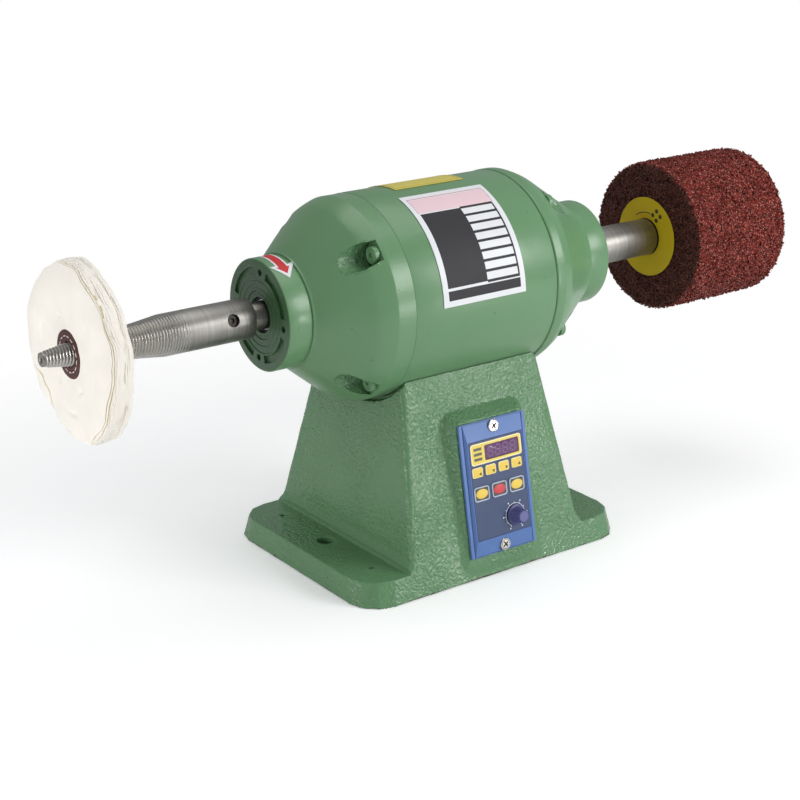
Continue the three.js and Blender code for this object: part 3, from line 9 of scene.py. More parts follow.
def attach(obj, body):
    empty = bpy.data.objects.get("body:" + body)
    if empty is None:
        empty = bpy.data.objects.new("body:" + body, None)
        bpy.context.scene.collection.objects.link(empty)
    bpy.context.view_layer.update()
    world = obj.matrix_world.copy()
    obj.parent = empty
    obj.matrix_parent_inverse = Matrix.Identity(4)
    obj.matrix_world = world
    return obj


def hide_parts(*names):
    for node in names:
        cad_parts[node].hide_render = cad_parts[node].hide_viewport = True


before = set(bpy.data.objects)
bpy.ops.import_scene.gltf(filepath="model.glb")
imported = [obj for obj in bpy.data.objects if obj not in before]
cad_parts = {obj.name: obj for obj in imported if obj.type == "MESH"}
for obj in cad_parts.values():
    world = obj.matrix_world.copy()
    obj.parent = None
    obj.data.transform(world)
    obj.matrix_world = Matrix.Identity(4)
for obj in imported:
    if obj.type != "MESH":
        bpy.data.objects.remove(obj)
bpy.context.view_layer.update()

# ---------------------------------------------------------------------------------------------------
# Floor, daylight and camera. A bench polishing machine stands on a white studio floor under large
# soft lights, and is seen from a little above its front left corner.

MM = 0.001


def linear(colour):
    """The linear RGBA of an sRGB hex value such as "#6f9a76"."""
    parts = [int(colour[i : i + 2], 16) / 255 for i in (1, 3, 5)]
    return [p / 12.92 if p <= 0.04045 else ((p + 0.055) / 1.055) ** 2.4 for p in parts] + [1]


def add(owner, kind, inputs=None, **settings):
    """Adds one shader node. The settings are the node's own, and the inputs are values, sockets to
    link, or other nodes, which are linked from their first output in use."""
    made = owner.node_tree.nodes.new("ShaderNode" + kind)
    for name, value in settings.items():
        setattr(made, name, value)
    for socket, value in (inputs or {}).items():
        if isinstance(value, bpy.types.Node):
            value = next(output for output in value.outputs if output.enabled)
        if isinstance(value, bpy.types.NodeSocket):
            owner.node_tree.links.new(value, made.inputs[socket])
        else:
            made.inputs[socket].default_value = value
    return made


def bare_material(name):
    """A new material, and the socket that gives places on its piece, in metres."""
    made = bpy.data.materials.new(name)
    made.use_nodes = True
    made.node_tree.nodes.clear()
    return made, add(made, "TexCoord").outputs["Object"]


def light_up(owner, surface):
    """Links a shader to the output of a material or world."""
    kind = "OutputWorld" if isinstance(owner, bpy.types.World) else "OutputMaterial"
    add(owner, kind, {"Surface": surface})


# Painted floor: a matt white sheet that fades to plain white away from the machine.
floor_reach = 9000
fade_start, fade_end = 230, 600
floor_lift = 0.22
cloud_size = 90
floor_paint, place = bare_material("matt white floor")
away = add(floor_paint, "VectorMath", {0: place}, operation="LENGTH").outputs["Value"]
inputs = {"Value": away, "From Min": fade_start * MM, "From Max": fade_end * MM}
fade = add(floor_paint, "MapRange", inputs)
ray = add(floor_paint, "LightPath").outputs["Is Camera Ray"]
seen = add(floor_paint, "Math", {0: fade, 1: ray}, operation="MULTIPLY")
cloud = add(floor_paint, "TexNoise", {"Vector": place, "Scale": 1000 / cloud_size, "Detail": 3})
shades = {0: cloud, 6: linear("#f8f8f8"), 7: linear("#fcfcfc")}
tint = add(floor_paint, "Mix", shades, data_type="RGBA")
matt = add(floor_paint, "BsdfPrincipled", {"Base Color": tint, "Roughness": 0.9})
lift = add(floor_paint, "Math", {0: ray, 1: floor_lift}, operation="MULTIPLY")
glow = add(floor_paint, "Emission", {"Color": linear("#ffffff"), "Strength": lift})
lifted = add(floor_paint, "AddShader", {0: matt, 1: glow})
white = add(floor_paint, "Emission", {"Color": linear("#ffffff"), "Strength": 1})
light_up(floor_paint, add(floor_paint, "MixShader", {0: seen, 1: lifted, 2: white}))

sheet = bmesh.new()
bmesh.ops.create_grid(sheet, x_segments=4, y_segments=4, size=floor_reach * MM)
floor_mesh = bpy.data.meshes.new("floor")
sheet.to_mesh(floor_mesh)
sheet.free()
floor_mesh.materials.append(floor_paint)
floor = bpy.data.objects.new("floor", floor_mesh)
bpy.context.scene.collection.objects.link(floor)

# Daylight: an even pale sky, white to the camera, and four soft lamps.
sky = bpy.data.worlds.new("pale daylight")
sky.use_nodes = True
sky.node_tree.nodes.clear()
bpy.context.scene.world = sky
path = add(sky, "LightPath")
even = add(sky, "Background", {"Color": linear("#f1f4f8"), "Strength": 0.38})
bright = add(sky, "Background", {"Color": linear("#ffffff"), "Strength": 1})
mixed = {0: path.outputs["Is Camera Ray"], 1: even, 2: bright}
light_up(sky, add(sky, "MixShader", mixed))


def soft_lamp(name, position, target, size, watts):
    """A rectangular area lamp that faces a point, in millimetres."""
    lamp = bpy.data.lights.new(name, "AREA")
    lamp.shape = "RECTANGLE"
    lamp.size, lamp.size_y = size[0] * MM, size[1] * MM
    lamp.energy = watts
    made = bpy.data.objects.new(name, lamp)
    made.visible_camera = False
    made.location = Vector(position) * MM
    made.rotation_euler = (Vector(target) - Vector(position)).to_track_quat("-Z", "Y").to_euler()
    bpy.context.scene.collection.objects.link(made)


soft_lamp("front window", (900, -1250, 850), (0, 0, 150), (820, 620), 13.4)
soft_lamp("low front lamp", (610, -1140, 125), (-60, -90, 90), (130, 130), 2)
soft_lamp("left lamp", (-900, -40, 250), (-280, 0, 200), (300, 300), 1.9)
soft_lamp("overhead panel", (200, 100, 1700), (0, 0, 100), (1500, 1100), 9.4)

# The camera, as fitted to the machine's own edges.
camera_place = (-740.5, -997.4, 546.25)
focal_length = 78.28
yaw, pitch, roll = math.radians(-35.65), math.radians(-19.41), math.radians(-0.55)
ahead = Vector((-math.sin(yaw) * math.cos(pitch), math.cos(yaw) * math.cos(pitch), math.sin(pitch)))
level = ahead.cross(Vector((0, 0, 1))).normalized()
above = level.cross(ahead)
across = level * math.cos(roll) + above * math.sin(roll)
upward = above * math.cos(roll) - level * math.sin(roll)
lens = bpy.data.cameras.new("camera")
lens.sensor_width = 36
lens.lens = focal_length
lens.clip_end = 50
camera = bpy.data.objects.new("camera", lens)
turned_to = Matrix((across, upward, -ahead)).transposed().to_4x4()
camera.matrix_world = Matrix.Translation(Vector(camera_place) * MM) @ turned_to
bpy.context.scene.collection.objects.link(camera)
bpy.context.scene.camera = camera
bpy.context.scene.view_settings.view_transform = "Standard"

# ---------------------------------------------------------------------------------------------------
# Base casting: a grey iron sand casting, with an ear at each end and a hollow pedestal under the
# motor. It is rough from the mould and a little round at its edges, under thick green gloss enamel.

shaft_height = 201.5
casting_voxel = 0.8
casting_merged = 0.04
crease_start, crease_foot, crease_head = 80.2, 18.3, 30
crease_length, crease_depth = 50, 220
hole_across, hole_back, hole_radius, hole_depth = 94.5, 59.6, 1.8, 6
flange_top = 18.8


def as_object(name, shape):
    """The shape as an object of the scene; the shape is used up."""
    mesh = bpy.data.meshes.new(name)
    shape.to_mesh(mesh)
    shape.free()
    made = bpy.data.objects.new(name, mesh)
    bpy.context.scene.collection.objects.link(made)
    return made


def worked(shape, kind, helper=None, **settings):
    """The shape after one modifier, as a new shape; a helper is a second shape that it uses."""
    piece = as_object("work", shape)
    modifier = piece.modifiers.new("work", kind)
    if helper is not None:
        modifier.object = as_object("helper", helper)
    for name, value in settings.items():
        setattr(modifier, name, value)
    bpy.context.view_layer.update()
    mesh = bpy.data.meshes.new_from_object(piece.evaluated_get(bpy.context.evaluated_depsgraph_get()))
    made = bmesh.new()
    made.from_mesh(mesh)
    spare = [piece] + ([modifier.object] if helper is not None else [])
    for thing in spare:
        old = thing.data
        bpy.data.objects.remove(thing)
        bpy.data.meshes.remove(old)
    bpy.data.meshes.remove(mesh)
    return made


def pin(shape, place, length, radius, segments, tip=None):
    """Adds a round pin along the place's Z, its middle there, and straight unless its tip is given."""
    tip = radius if tip is None else tip
    bmesh.ops.create_cone(
        shape, cap_ends=True, segments=segments, radius1=radius, radius2=tip, depth=length, matrix=place
    )


def block(shape, place, size):
    """Adds a square block, with its middle at the place."""
    bmesh.ops.create_cube(shape, size=1, matrix=place @ Matrix.Diagonal((*size, 1)))


def recast(shape, voxel, merged):
    """The shape remade of small faces, wider where it is flat, with its edges a little round."""
    settings = {"mode": "VOXEL", "voxel_size": voxel, "adaptivity": merged}
    return worked(shape, "REMESH", use_smooth_shade=True, **settings)


def cut(shape, cutter):
    """The shape less the cutter."""
    return worked(shape, "BOOLEAN", cutter, operation="DIFFERENCE", solver="EXACT")


def roughened(shape, waves, where=None):
    """Sinks the surface by smooth random hollows, given as (size, depth) pairs in millimetres."""
    shape.normal_update()
    moves = []
    for vert in shape.verts:
        if where is None or where(vert.co):
            sink = sum(depth * (0.5 + 0.5 * noise.noise(vert.co / size)) for size, depth in waves)
            moves.append((vert, vert.normal * sink))
    for vert, move in moves:
        vert.co -= move


def settle(name, shape, body, materials, replaced=(), sharp=35, weld=0.001):
    """Makes a shape in millimetres into a finished piece, smooth but for its sharp edges."""
    bmesh.ops.remove_doubles(shape, verts=shape.verts, dist=weld)
    bmesh.ops.dissolve_degenerate(shape, dist=weld / 2, edges=shape.edges)
    bmesh.ops.recalc_face_normals(shape, faces=shape.faces)
    for edge in shape.edges:
        edge.smooth = not edge.is_manifold or edge.calc_face_angle(0) < math.radians(sharp)
    for face in shape.faces:
        face.smooth = True
    bmesh.ops.scale(shape, vec=Vector((MM, MM, MM)), verts=shape.verts)
    made = as_object(name, shape)
    for material in materials:
        made.data.materials.append(material)
    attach(made, body)
    if replaced:
        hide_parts(*replaced)


def enamel(name, lit, deep, gloss, lumps, grit, calm, chipped):
    """Air-dried gloss enamel over cast iron: a green film that softens the lumps and grit under it,
    here less and there more. Small chips break through it, and its lowest edge is scuffed."""
    made, spot = bare_material(name)
    cloud = add(made, "TexNoise", {"Vector": spot, "Scale": 1000 / 45, "Detail": 2})
    film = add(made, "Mix", {0: cloud, 6: linear(lit), 7: linear(deep)}, data_type="RGBA")
    chip = add(made, "TexVoronoi", {"Vector": spot, "Scale": 1000 / 15})
    bare = add(made, "MapRange", {"Value": chip, "From Min": chipped * 0.7, "From Max": chipped})
    colour = add(made, "Mix", {0: bare, 6: linear("#2b2723"), 7: film}, data_type="RGBA")
    haze = add(made, "TexNoise", {"Vector": spot, "Scale": 1000 / 12, "Detail": 4})
    rough = add(made, "MapRange", {"Value": haze, "To Min": gloss[0], "To Max": gloss[1]})
    height = add(made, "SeparateXYZ", {0: spot}).outputs["Z"]
    wander = add(made, "Math", {0: haze, 1: 6 * MM, 2: height}, operation="MULTIPLY_ADD")
    scuffed = add(made, "MapRange", {"Value": wander, "From Min": 3.4 * MM, "From Max": 3.9 * MM})
    worn = add(made, "Mix", {0: scuffed, 6: linear("#3a332b"), 7: colour}, data_type="RGBA")
    patches = add(made, "TexNoise", {"Vector": spot, "Scale": 1000 / 60, "Detail": 1})
    strength = add(
        made, "MapRange",
        {"Value": patches, "From Min": 0.38, "From Max": 0.6, "To Min": calm, "To Max": 1},
    )
    last = None
    for size, height, detail in lumps:
        grain = add(made, "TexNoise", {"Vector": spot, "Scale": 1000 / size, "Detail": detail})
        inputs = {"Height": grain, "Distance": height * MM, "Strength": strength}
        if last is not None:
            inputs["Normal"] = last
        last = add(made, "Bump", inputs)
    cells = add(made, "TexVoronoi", {"Vector": spot, "Scale": 1000 / grit[0]}, feature="SMOOTH_F1")
    inputs = {"Height": cells, "Distance": grit[1] * MM, "Strength": strength, "Normal": last}
    grains = add(made, "Bump", inputs, invert=True)
    shader = add(made, "BsdfPrincipled", {
        "Base Color": worn, "Roughness": rough, "IOR": 1.5, "Normal": grains,
    })
    light_up(made, shader)
    return made


cast_enamel = enamel(
    "green gloss enamel on sand casting", "#658e66", "#598259", (0.15, 0.26),
    ((6, 0.9, 2), (1.9, 0.6, 2)), (2, 0.85), 0.4, 0.045,
)

casting = bmesh.new()
casting.from_mesh(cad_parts["base_casting"].data)
bmesh.ops.scale(casting, vec=Vector((1, 1, 1)) / MM, verts=casting.verts)
bmesh.ops.remove_doubles(casting, verts=casting.verts, dist=0.01)
# The hollow that the mould leaves where each ear meets the pedestal, cut square.
creases = bmesh.new()
for side in (-1, 1):
    middle = (side * (crease_start + crease_length / 2), 0, (crease_foot + crease_head) / 2)
    size = (crease_length, crease_depth, crease_head - crease_foot)
    block(creases, Matrix.Translation(middle), size)
casting = cut(casting, creases)
casting = recast(casting, casting_voxel, casting_merged)
roughened(casting, ((18, 0.4), (7, 0.25)))
for vert in casting.verts:
    vert.co.z = max(vert.co.z, 0)
# Four shallow holes, drilled in the ears after the coat.
drills = bmesh.new()
for x in (-1, 1):
    for y in (-1, 1):
        middle = Matrix.Translation((x * hole_across, y * hole_back, flange_top))
        pin(drills, middle, 2 * hole_depth, hole_radius, 24)
casting = cut(casting, drills)
settle(
    "base_casting_enamelled", casting, "base", [cast_enamel], ["base_casting"],
    sharp=32,
)

# ---------------------------------------------------------------------------------------------------
# Bottom cover: a zinc plated steel sheet let into the casting's underside. It is flat and unpainted,
# with the pale spangle of its plating.


def plain_metal(name, colour, worn, gloss, grain):
    """A bare metal: fine stretched grain, and a colour that drifts in bands seven times as wide."""
    made, spot = bare_material(name)
    bands = add(made, "Mapping", {"Vector": spot, "Scale": [1000 / size / 7 for size in grain]})
    cloud = add(made, "TexNoise", {"Vector": bands, "Scale": 1, "Detail": 4})
    tone = add(made, "Mix", {0: cloud, 6: linear(colour), 7: linear(worn)}, data_type="RGBA")
    stretched = add(made, "Mapping", {"Vector": spot, "Scale": [1000 / size for size in grain]})
    lines = add(made, "TexNoise", {"Vector": stretched, "Scale": 1, "Detail": 2})
    rough = add(made, "MapRange", {"Value": lines, "To Min": gloss[0], "To Max": gloss[1]})
    ridge = add(made, "Bump", {"Height": lines, "Distance": 0.03 * MM, "Strength": 1})
    shader = add(made, "BsdfPrincipled", {
        "Base Color": tone, "Metallic": 1, "Roughness": rough, "Normal": ridge,
    })
    light_up(made, shader)
    return made


def dress(node, material):
    """Gives a carried-over CAD node its finish."""
    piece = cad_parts[node]
    piece.data.materials.clear()
    piece.data.materials.append(material)


# Zinc plate: pale blue-grey, half bright, with cloudy spangle a few millimetres across.
zinc_plate = plain_metal("zinc plated steel", "#b9bec4", "#a4a9b0", (0.3, 0.48), (1.4, 1.4, 1.4))
dress("bottom_cover", zinc_plate)
dress("saddle_bolt_left", zinc_plate)
dress("saddle_bolt_right", zinc_plate)

# ---------------------------------------------------------------------------------------------------
# Motor housing: a turned iron tube between the end bells, filled, rubbed down and sprayed with the
# same enamel as the base. A groove marks its right seam, and a fine step its left one.

housing_half = 63.3
housing_radius = 74.5
housing_bore = 60.3
round_steps = 240


def turned(profile, steps, hollow=False):
    """A shape spun about the shaft's line from (x, radius) corners, which form a loop if hollow."""
    shape = bmesh.new()
    corners = [shape.verts.new((x, 0, radius)) for x, radius in profile]
    pairs = list(zip(corners, corners[1:])) + ([(corners[-1], corners[0])] if hollow else [])
    edges = [shape.edges.new(pair) for pair in pairs]
    bmesh.ops.spin(
        shape, geom=corners + edges, cent=(0, 0, 0), axis=(1, 0, 0), dvec=(0, 0, 0),
        angle=2 * math.pi, steps=steps, use_merge=True,
    )
    bmesh.ops.remove_doubles(shape, verts=shape.verts, dist=0.0005)
    bmesh.ops.recalc_face_normals(shape, faces=shape.faces)
    return shape


def eased(shape, width, segments=2, angle=25, where=None):
    """Rounds every edge that is sharper than the angle."""
    sharp = [
        edge
        for edge in shape.edges
        if edge.is_manifold
        and edge.calc_face_angle(0) > math.radians(angle)
        and (where is None or where(edge))
    ]
    bmesh.ops.bevel(
        shape, geom=sharp, offset=width, offset_type="OFFSET", segments=segments, profile=0.5,
        affect="EDGES", clamp_overlap=True, material=-1,
    )
    return shape


def moved(shape, x=0, y=0, z=0):
    """The shape, shifted in place."""
    bmesh.ops.translate(shape, vec=Vector((x, y, z)), verts=shape.verts)
    return shape


def on_shaft(shape):
    """A shape made about the shaft's line, raised to the shaft's height."""
    return moved(shape, z=shaft_height)


# The motor's coat is smoother than the base's: long faint waves and a light orange peel.
motor_enamel = enamel(
    "green gloss enamel on turned iron", "#699269", "#628b62", (0.24, 0.36),
    ((26, 0.5, 1), (2, 0.06, 1)), (1.7, 0.04), 0.35, 0.028,
)

housing = turned([
    (-housing_half, housing_bore), (-housing_half, housing_radius - 0.1),
    (-housing_half + 5.2, housing_radius - 0.1), (-housing_half + 5.5, housing_radius),
    (housing_half, housing_radius), (housing_half, housing_bore),
], round_steps, hollow=True)
# The right edge is broken widely, which leaves the seam's groove; the left one is nearly flush.
eased(housing, 0.9, 3, where=lambda edge: edge.verts[0].co.x > 0)
eased(housing, 0.15, 2, where=lambda edge: edge.verts[0].co.x < -housing_half + 1)
settle(
    "motor_housing_enamelled", on_shaft(housing), "base", [motor_enamel],
    ["motor_housing"],
)

# ---------------------------------------------------------------------------------------------------
# End bells: two iron castings that carry the bearings, each a rim, a cone with four scooped bolt
# pockets and a turned neck. The pockets keep the mould's skin; the rest is rubbed smooth.

bell_length = 81.3
neck_length = 18.6
neck_radius = 40.1
hole_circle, hole_angle = 31.3, 95
scoop_radius, scoop_end = 10.5, 54
bolt_circle = 66.5
bolt_seat = 17
bore_radius = 23.8
cone_foot = bell_length - neck_length
seal_face = bell_length - 3
seal_bore, seal_radius = 10.7, 13.4


def knee(rim, start, end, drop, crease, count=10):
    """The curve from a bell's rim, where it breaks at a crease, smoothly on to its cone."""
    slope = (rim - drop - neck_radius) / (cone_foot - end)
    bend = end - (drop - crease) / slope
    points = []
    for i in range(count + 1):
        t = i / count
        x = (1 - t) ** 2 * start + 2 * t * (1 - t) * bend + t * t * end
        radius = (1 - t) ** 2 * rim + 2 * t * (1 - t) * (rim - crease) + t * t * (rim - drop)
        points.append((x, radius))
    return points


def around(radius, angle):
    """The (y, z) of a point about the shaft's line, its angle counted from the front over the top."""
    return -radius * math.cos(math.radians(angle)), radius * math.sin(math.radians(angle))


def off_axis(spot):
    """How far a place is from the shaft's line."""
    return math.hypot(spot.y, spot.z)


def pulled(shape, faces):
    """Extrudes some faces and returns the new corners, which are still in place."""
    grown = bmesh.ops.extrude_face_region(shape, geom=faces)
    return [part for part in grown["geom"] if isinstance(part, bmesh.types.BMVert)]


def rod(start, end, radius, y=0, z=0, segments=48):
    """A plain rod along X, for cutting."""
    shape = bmesh.new()
    middle = Matrix.Translation(((start + end) / 2, y, z)) @ Matrix.Rotation(math.pi / 2, 4, "Y")
    pin(shape, middle, end - start, radius, segments)
    return shape


def joined(shapes):
    """Several shapes as one."""
    whole = bmesh.new()
    for shape in shapes:
        mesh = bpy.data.meshes.new("join")
        shape.to_mesh(mesh)
        shape.free()
        whole.from_mesh(mesh)
        bpy.data.meshes.remove(mesh)
    return whole


def stepped(corners, size):
    """A closed outline's corners, with more between them so that no side is longer than the size."""
    points = []
    for near, far in zip(corners, corners[1:] + corners[:1]):
        count = math.ceil(math.dist(near, far) / size)
        points += [
            (near[0] + (far[0] - near[0]) * i / count, near[1] + (far[1] - near[1]) * i / count)
            for i in range(count)
        ]
    return points


def scoop(y, z):
    """The cutter of one bolt pocket: a rod as lumpy as the sand core that left the pocket."""
    outline = [(bolt_seat, 0), (bolt_seat, scoop_radius), (scoop_end, scoop_radius), (scoop_end, 0)]
    corners = [
        corner
        for corner in stepped(outline, 1.4)
        if corner[1] > 0 or corner[0] in (bolt_seat, scoop_end)
    ]
    core = moved(turned(corners, 52), y=y, z=z)
    roughened(core, ((4.5, 0.9), (2.4, 0.6)), lambda spot: bolt_seat + 1 < spot.x < scoop_end - 1)
    return core


def bell_cone(rim, start, end, drop, crease, first_angle, seam):
    """The rim and cone of a bell that points along +X, from the profile of its seam on the housing."""
    cone = turned(
        stepped([
            (-3, 54.3), *seam, *knee(rim, start, end, drop, crease),
            (cone_foot - 0.9, neck_radius + 1.5), (cone_foot + 0.2, neck_radius + 1.3),
            (cone_foot + 0.4, neck_radius - 0.2), (cone_foot + 0.4, bore_radius),
            (cone_foot - 3, bore_radius), (bolt_seat, 44),
        ], 3),
        round_steps,
        hollow=True,
    )
    eased(cone, 0.4, 2, 9, lambda edge: edge.verts[0].co.x > 0.05)
    centres = [around(bolt_circle, first_angle + 90 * i) for i in range(4)]
    cone = cut(cone, joined([scoop(y, z) for y, z in centres]))
    for face in cone.faces:
        spot = face.calc_center_median()
        near = min(math.hypot(spot.y - y, spot.z - z) for y, z in centres)
        face.material_index = int(near < scoop_radius - 0.01 and spot.x > bolt_seat - 0.5)
    return cone


def bell_neck():
    """The turned neck, its face ringed by the lathe, with four sunk arcs and four holes."""
    face = bell_length
    neck = turned([
        (cone_foot, bore_radius), (cone_foot, neck_radius), (face, neck_radius), (face, 27.4),
        (face - 0.7, 26.8), (face - 0.7, 24.6), (face - 0.3, 24.3), (face - 0.3, 22.4),
        (face - 0.8, 22), (face - 0.8, 19.6), (face - 0.4, 19.3), (face - 0.4, 17.6),
        (face - 1.2, 17.2), (face - 1.2, 15.2), (face - 0.8, 14.9), (face - 0.8, 12.9),
        (face - 12, 12.9), (face - 12, bore_radius),
    ], 120, hollow=True)
    eased(neck, 0.7, 3, 60, lambda edge: all(off_axis(v.co) > neck_radius - 1 for v in edge.verts))
    tools = []
    for i in range(4):
        y, z = around(hole_circle, hole_angle + 90 * i)
        tools.append(rod(face - 6, face + 3, 2.5, y, z, 24))
        tools.append(face_groove(hole_angle + 45 + 90 * i))
    neck = cut(neck, joined(tools))
    # The face and its hole take the darker enamel, which is painted shade.
    for part in neck.faces:
        middle = part.calc_center_median()
        part.material_index = int(middle.x > face - 5 and off_axis(middle) < neck_radius - 0.9)
    return neck


def face_groove(angle):
    """A cutter for one of the arcs that are sunk into the neck's face."""
    spread, width, depth = math.radians(64), 5.4, 1.9
    groove = bmesh.new()
    bmesh.ops.create_grid(groove, x_segments=24, y_segments=1, size=0.5)
    for vert in groove.verts:
        radius = hole_circle + width * vert.co.y
        turn = vert.co.x * spread + math.radians(angle)
        vert.co = Vector((bell_length - depth, -radius * math.cos(turn), radius * math.sin(turn)))
    bmesh.ops.translate(groove, vec=Vector((4, 0, 0)), verts=pulled(groove, groove.faces[:]))
    bmesh.ops.recalc_face_normals(groove, faces=groove.faces)
    return groove


def bell_bolt(angle):
    """A round-headed bolt in its pocket, its hexagon socket half filled with enamel."""
    bolt = turned([
        (3, 0), (3, 2.9), (bolt_seat + 0.2, 2.9), (bolt_seat + 0.2, 6), (bolt_seat + 4.4, 6),
        (bolt_seat + 4.4, 4.6), (bolt_seat + 3.8, 4.2), (bolt_seat + 4.2, 3.5), (bolt_seat + 4.2, 0),
    ], 40)
    eased(bolt, 0.5, 3)
    socket = rod(bolt_seat + 3.3, bolt_seat + 6, 1.9, segments=6)
    bolt = cut(bolt, socket)
    y, z = around(bolt_circle, angle)
    return moved(bolt, y=y, z=z)


def turned_ring(near, far, bore, radius, steps):
    """A plain ring about the shaft's line, square at its edges."""
    return turned([(near, bore), (near, radius), (far, radius), (far, bore)], steps, hollow=True)


def seal_lip():
    """The rubber lip that closes the neck's hole round the shaft, a black ring that stands in as
    painted shade there.
    """
    return eased(turned_ring(seal_face, seal_face - 3, seal_bore, seal_radius, 72), 0.4, 2)


def ended(shape, side):
    """Moves a shape from a bell's own place to the left or right end of the housing."""
    if side == "right":
        return moved(shape, x=housing_half, z=shaft_height)
    about = Matrix.Rotation(math.pi, 3, "Z")
    bmesh.ops.rotate(shape, verts=shape.verts, cent=(0, 0, 0), matrix=about)
    return moved(shape, x=-housing_half, z=shaft_height)


def moulded(name, colour, deep, gloss, grain_size, grain_height):
    """A moulded plastic or resin: one colour through, with the fine grain of its mould."""
    made, spot = bare_material(name)
    cloud = add(made, "TexNoise", {"Vector": spot, "Scale": 1000 / 14, "Detail": 3})
    tone = add(made, "Mix", {0: cloud, 6: linear(colour), 7: linear(deep)}, data_type="RGBA")
    grain = add(made, "TexNoise", {"Vector": spot, "Scale": 1000 / grain_size, "Detail": 2})
    bump = add(made, "Bump", {"Height": grain, "Distance": grain_height * MM, "Strength": 1})
    rough = add(made, "MapRange", {"Value": cloud, "To Min": gloss - 0.05, "To Max": gloss + 0.05})
    shader = add(made, "BsdfPrincipled", {
        "Base Color": tone, "Roughness": rough, "IOR": 1.5, "Normal": bump,
    })
    light_up(made, shader)
    return made


# The neck's face, darker than the rest as painted shade.
neck_face_shade_enamel = enamel(
    "green enamel darkened as painted shade on a turned face", "#466a45", "#3c5c3c", (0.26, 0.4),
    ((3, 0.3, 2), (1.2, 0.1, 1)), (1.6, 0.12), 0.5, 0.03,
)
# The left bell's rim runs flush into the housing, and the right one's broken edge leaves a groove.
flush_seam = [(-3, 74.15)]
open_seam = [(-3, 60), (0.1, 60), (0.1, 74.1), (1, 75)]
# Nitrile rubber: dull and nearly black. The lip is there as painted shade, to darken the gap round the
# shaft in the neck's hole.
hole_shade_rubber = moulded("black rubber as painted shade in the neck's hole", "#1d1c1b", "#161514", 0.5, 0.8, 0.03)
for side, rim, knee_start, knee_end, drop, crease, first_angle, seam in (
    ("left", 74.15, 14.8, 29.7, 6.55, 3.6, 180 - 41, flush_seam),
    ("right", 75, 8, 19, 5, 2.8, 55, open_seam),
):
    cone = bell_cone(rim, knee_start, knee_end, drop, crease, first_angle, seam)
    settle(
        f"{side}_bell_cone", ended(cone, side), "base", [motor_enamel, cast_enamel],
        [f"{side}_end_bell"], sharp=32,
    )
    # The seal's black is painted shade in the neck's hole.
    settle(f"{side}_shaft_seal", ended(seal_lip(), side), "base", [hole_shade_rubber])
    settle(
        f"{side}_bell_neck", ended(bell_neck(), side), "base",
        [motor_enamel, neck_face_shade_enamel], [f"{side}_end_bell"],
    )
    for i in range(4):
        settle(
            f"{side}_bell_bolt_{i + 1}_enamelled", ended(bell_bolt(first_angle + 90 * i), side),
            "base", [motor_enamel], [f"{side}_bell_bolt_{i + 1}"],
        )

# ---------------------------------------------------------------------------------------------------
# Inside the motor: a laminated stator with its varnished winding, a rotor on one long ground shaft,
# and two shielded bearings, the right one with a wavy washer. The housing and bells close over them.

# Ground steel: bright, with fine marks round it from the wheel.
ground_steel = plain_metal("ground bright steel", "#aeaba6", "#787570", (0.34, 0.54), (0.35, 16, 16))
# Shaft steel: the same ground bar, but darker, as painted shade where it stands out of the bells, and
# oily, so less rough.
shaded_shaft_steel = plain_metal("ground steel darkened as painted shade", "#a09c96", "#6b665f", (0.22, 0.36), (0.35, 16, 16))
# Bearing steel: brighter and smoother than the shaft.
race_steel = plain_metal("polished bearing steel", "#c6c8ca", "#b2b4b8", (0.14, 0.24), (0.3, 30, 30))
# Laminations: half-millimetre sheets that show as lines across the core.
lamination_steel = plain_metal(
    "stacked electrical steel", "#7d7f86", "#666870", (0.4, 0.6), (0.5, 60, 60)
)


def winding_varnish():
    """Enamelled copper wire under amber varnish: bundled strands, glossy and brown."""
    made, spot = bare_material("varnished copper wire")
    inputs = {"Vector": spot, "Scale": 1000 / 6, "Distortion": 3}
    strands = add(made, "TexWave", inputs, bands_direction="DIAGONAL")
    tone = add(
        made, "Mix", {0: strands.outputs["Fac"], 6: linear("#6d3a1c"), 7: linear("#b4703c")},
        data_type="RGBA",
    )
    ridge = add(made, "Bump", {"Height": strands.outputs["Fac"], "Distance": 0.4 * MM, "Strength": 1})
    shader = add(
        made, "BsdfPrincipled",
        {"Base Color": tone, "Metallic": 0.6, "Roughness": 0.35, "Normal": ridge},
    )
    light_up(made, shader)
    return made


dress("stator_core", lamination_steel)
dress("rotor_core", lamination_steel)
dress("stator_winding", winding_varnish())
for node in (
    "left_bearing_outer_race", "right_bearing_outer_race", "left_bearing_inner_race",
    "right_bearing_inner_race", "bearing_preload_washer",
):
    dress(node, race_steel)

shaft_end = 184.6
bearing_back = 126.5
preload_gap = 1.9
core_seat = 44
journal, barrel, core_fit = 10, 12.5, 14
shaft = turned([
    (-shaft_end, 0), (-shaft_end, journal), (-bearing_back, journal), (-bearing_back, barrel),
    (-core_seat, barrel), (-core_seat, core_fit), (core_seat, core_fit), (core_seat, barrel),
    (bearing_back - preload_gap, barrel), (bearing_back - preload_gap, journal),
    (shaft_end, journal), (shaft_end, 0),
], 96)
eased(shaft, 0.8, 2)
# The shaft's darker steel is painted shade.
settle("motor_shaft_ground", on_shaft(shaft), "rotor", [shaded_shaft_steel], ["motor_shaft"])

# ---------------------------------------------------------------------------------------------------
# Plates and labels on the motor: a printed sheet with an empty ruled table, a yellow strip over the
# top and a red arrow with a white border round the left neck. All are vinyl, stuck over the enamel.


def widened(vert, factor):
    """Moves a corner straight out from the shaft's line, by a factor."""
    vert.co.y *= factor
    vert.co.z *= factor


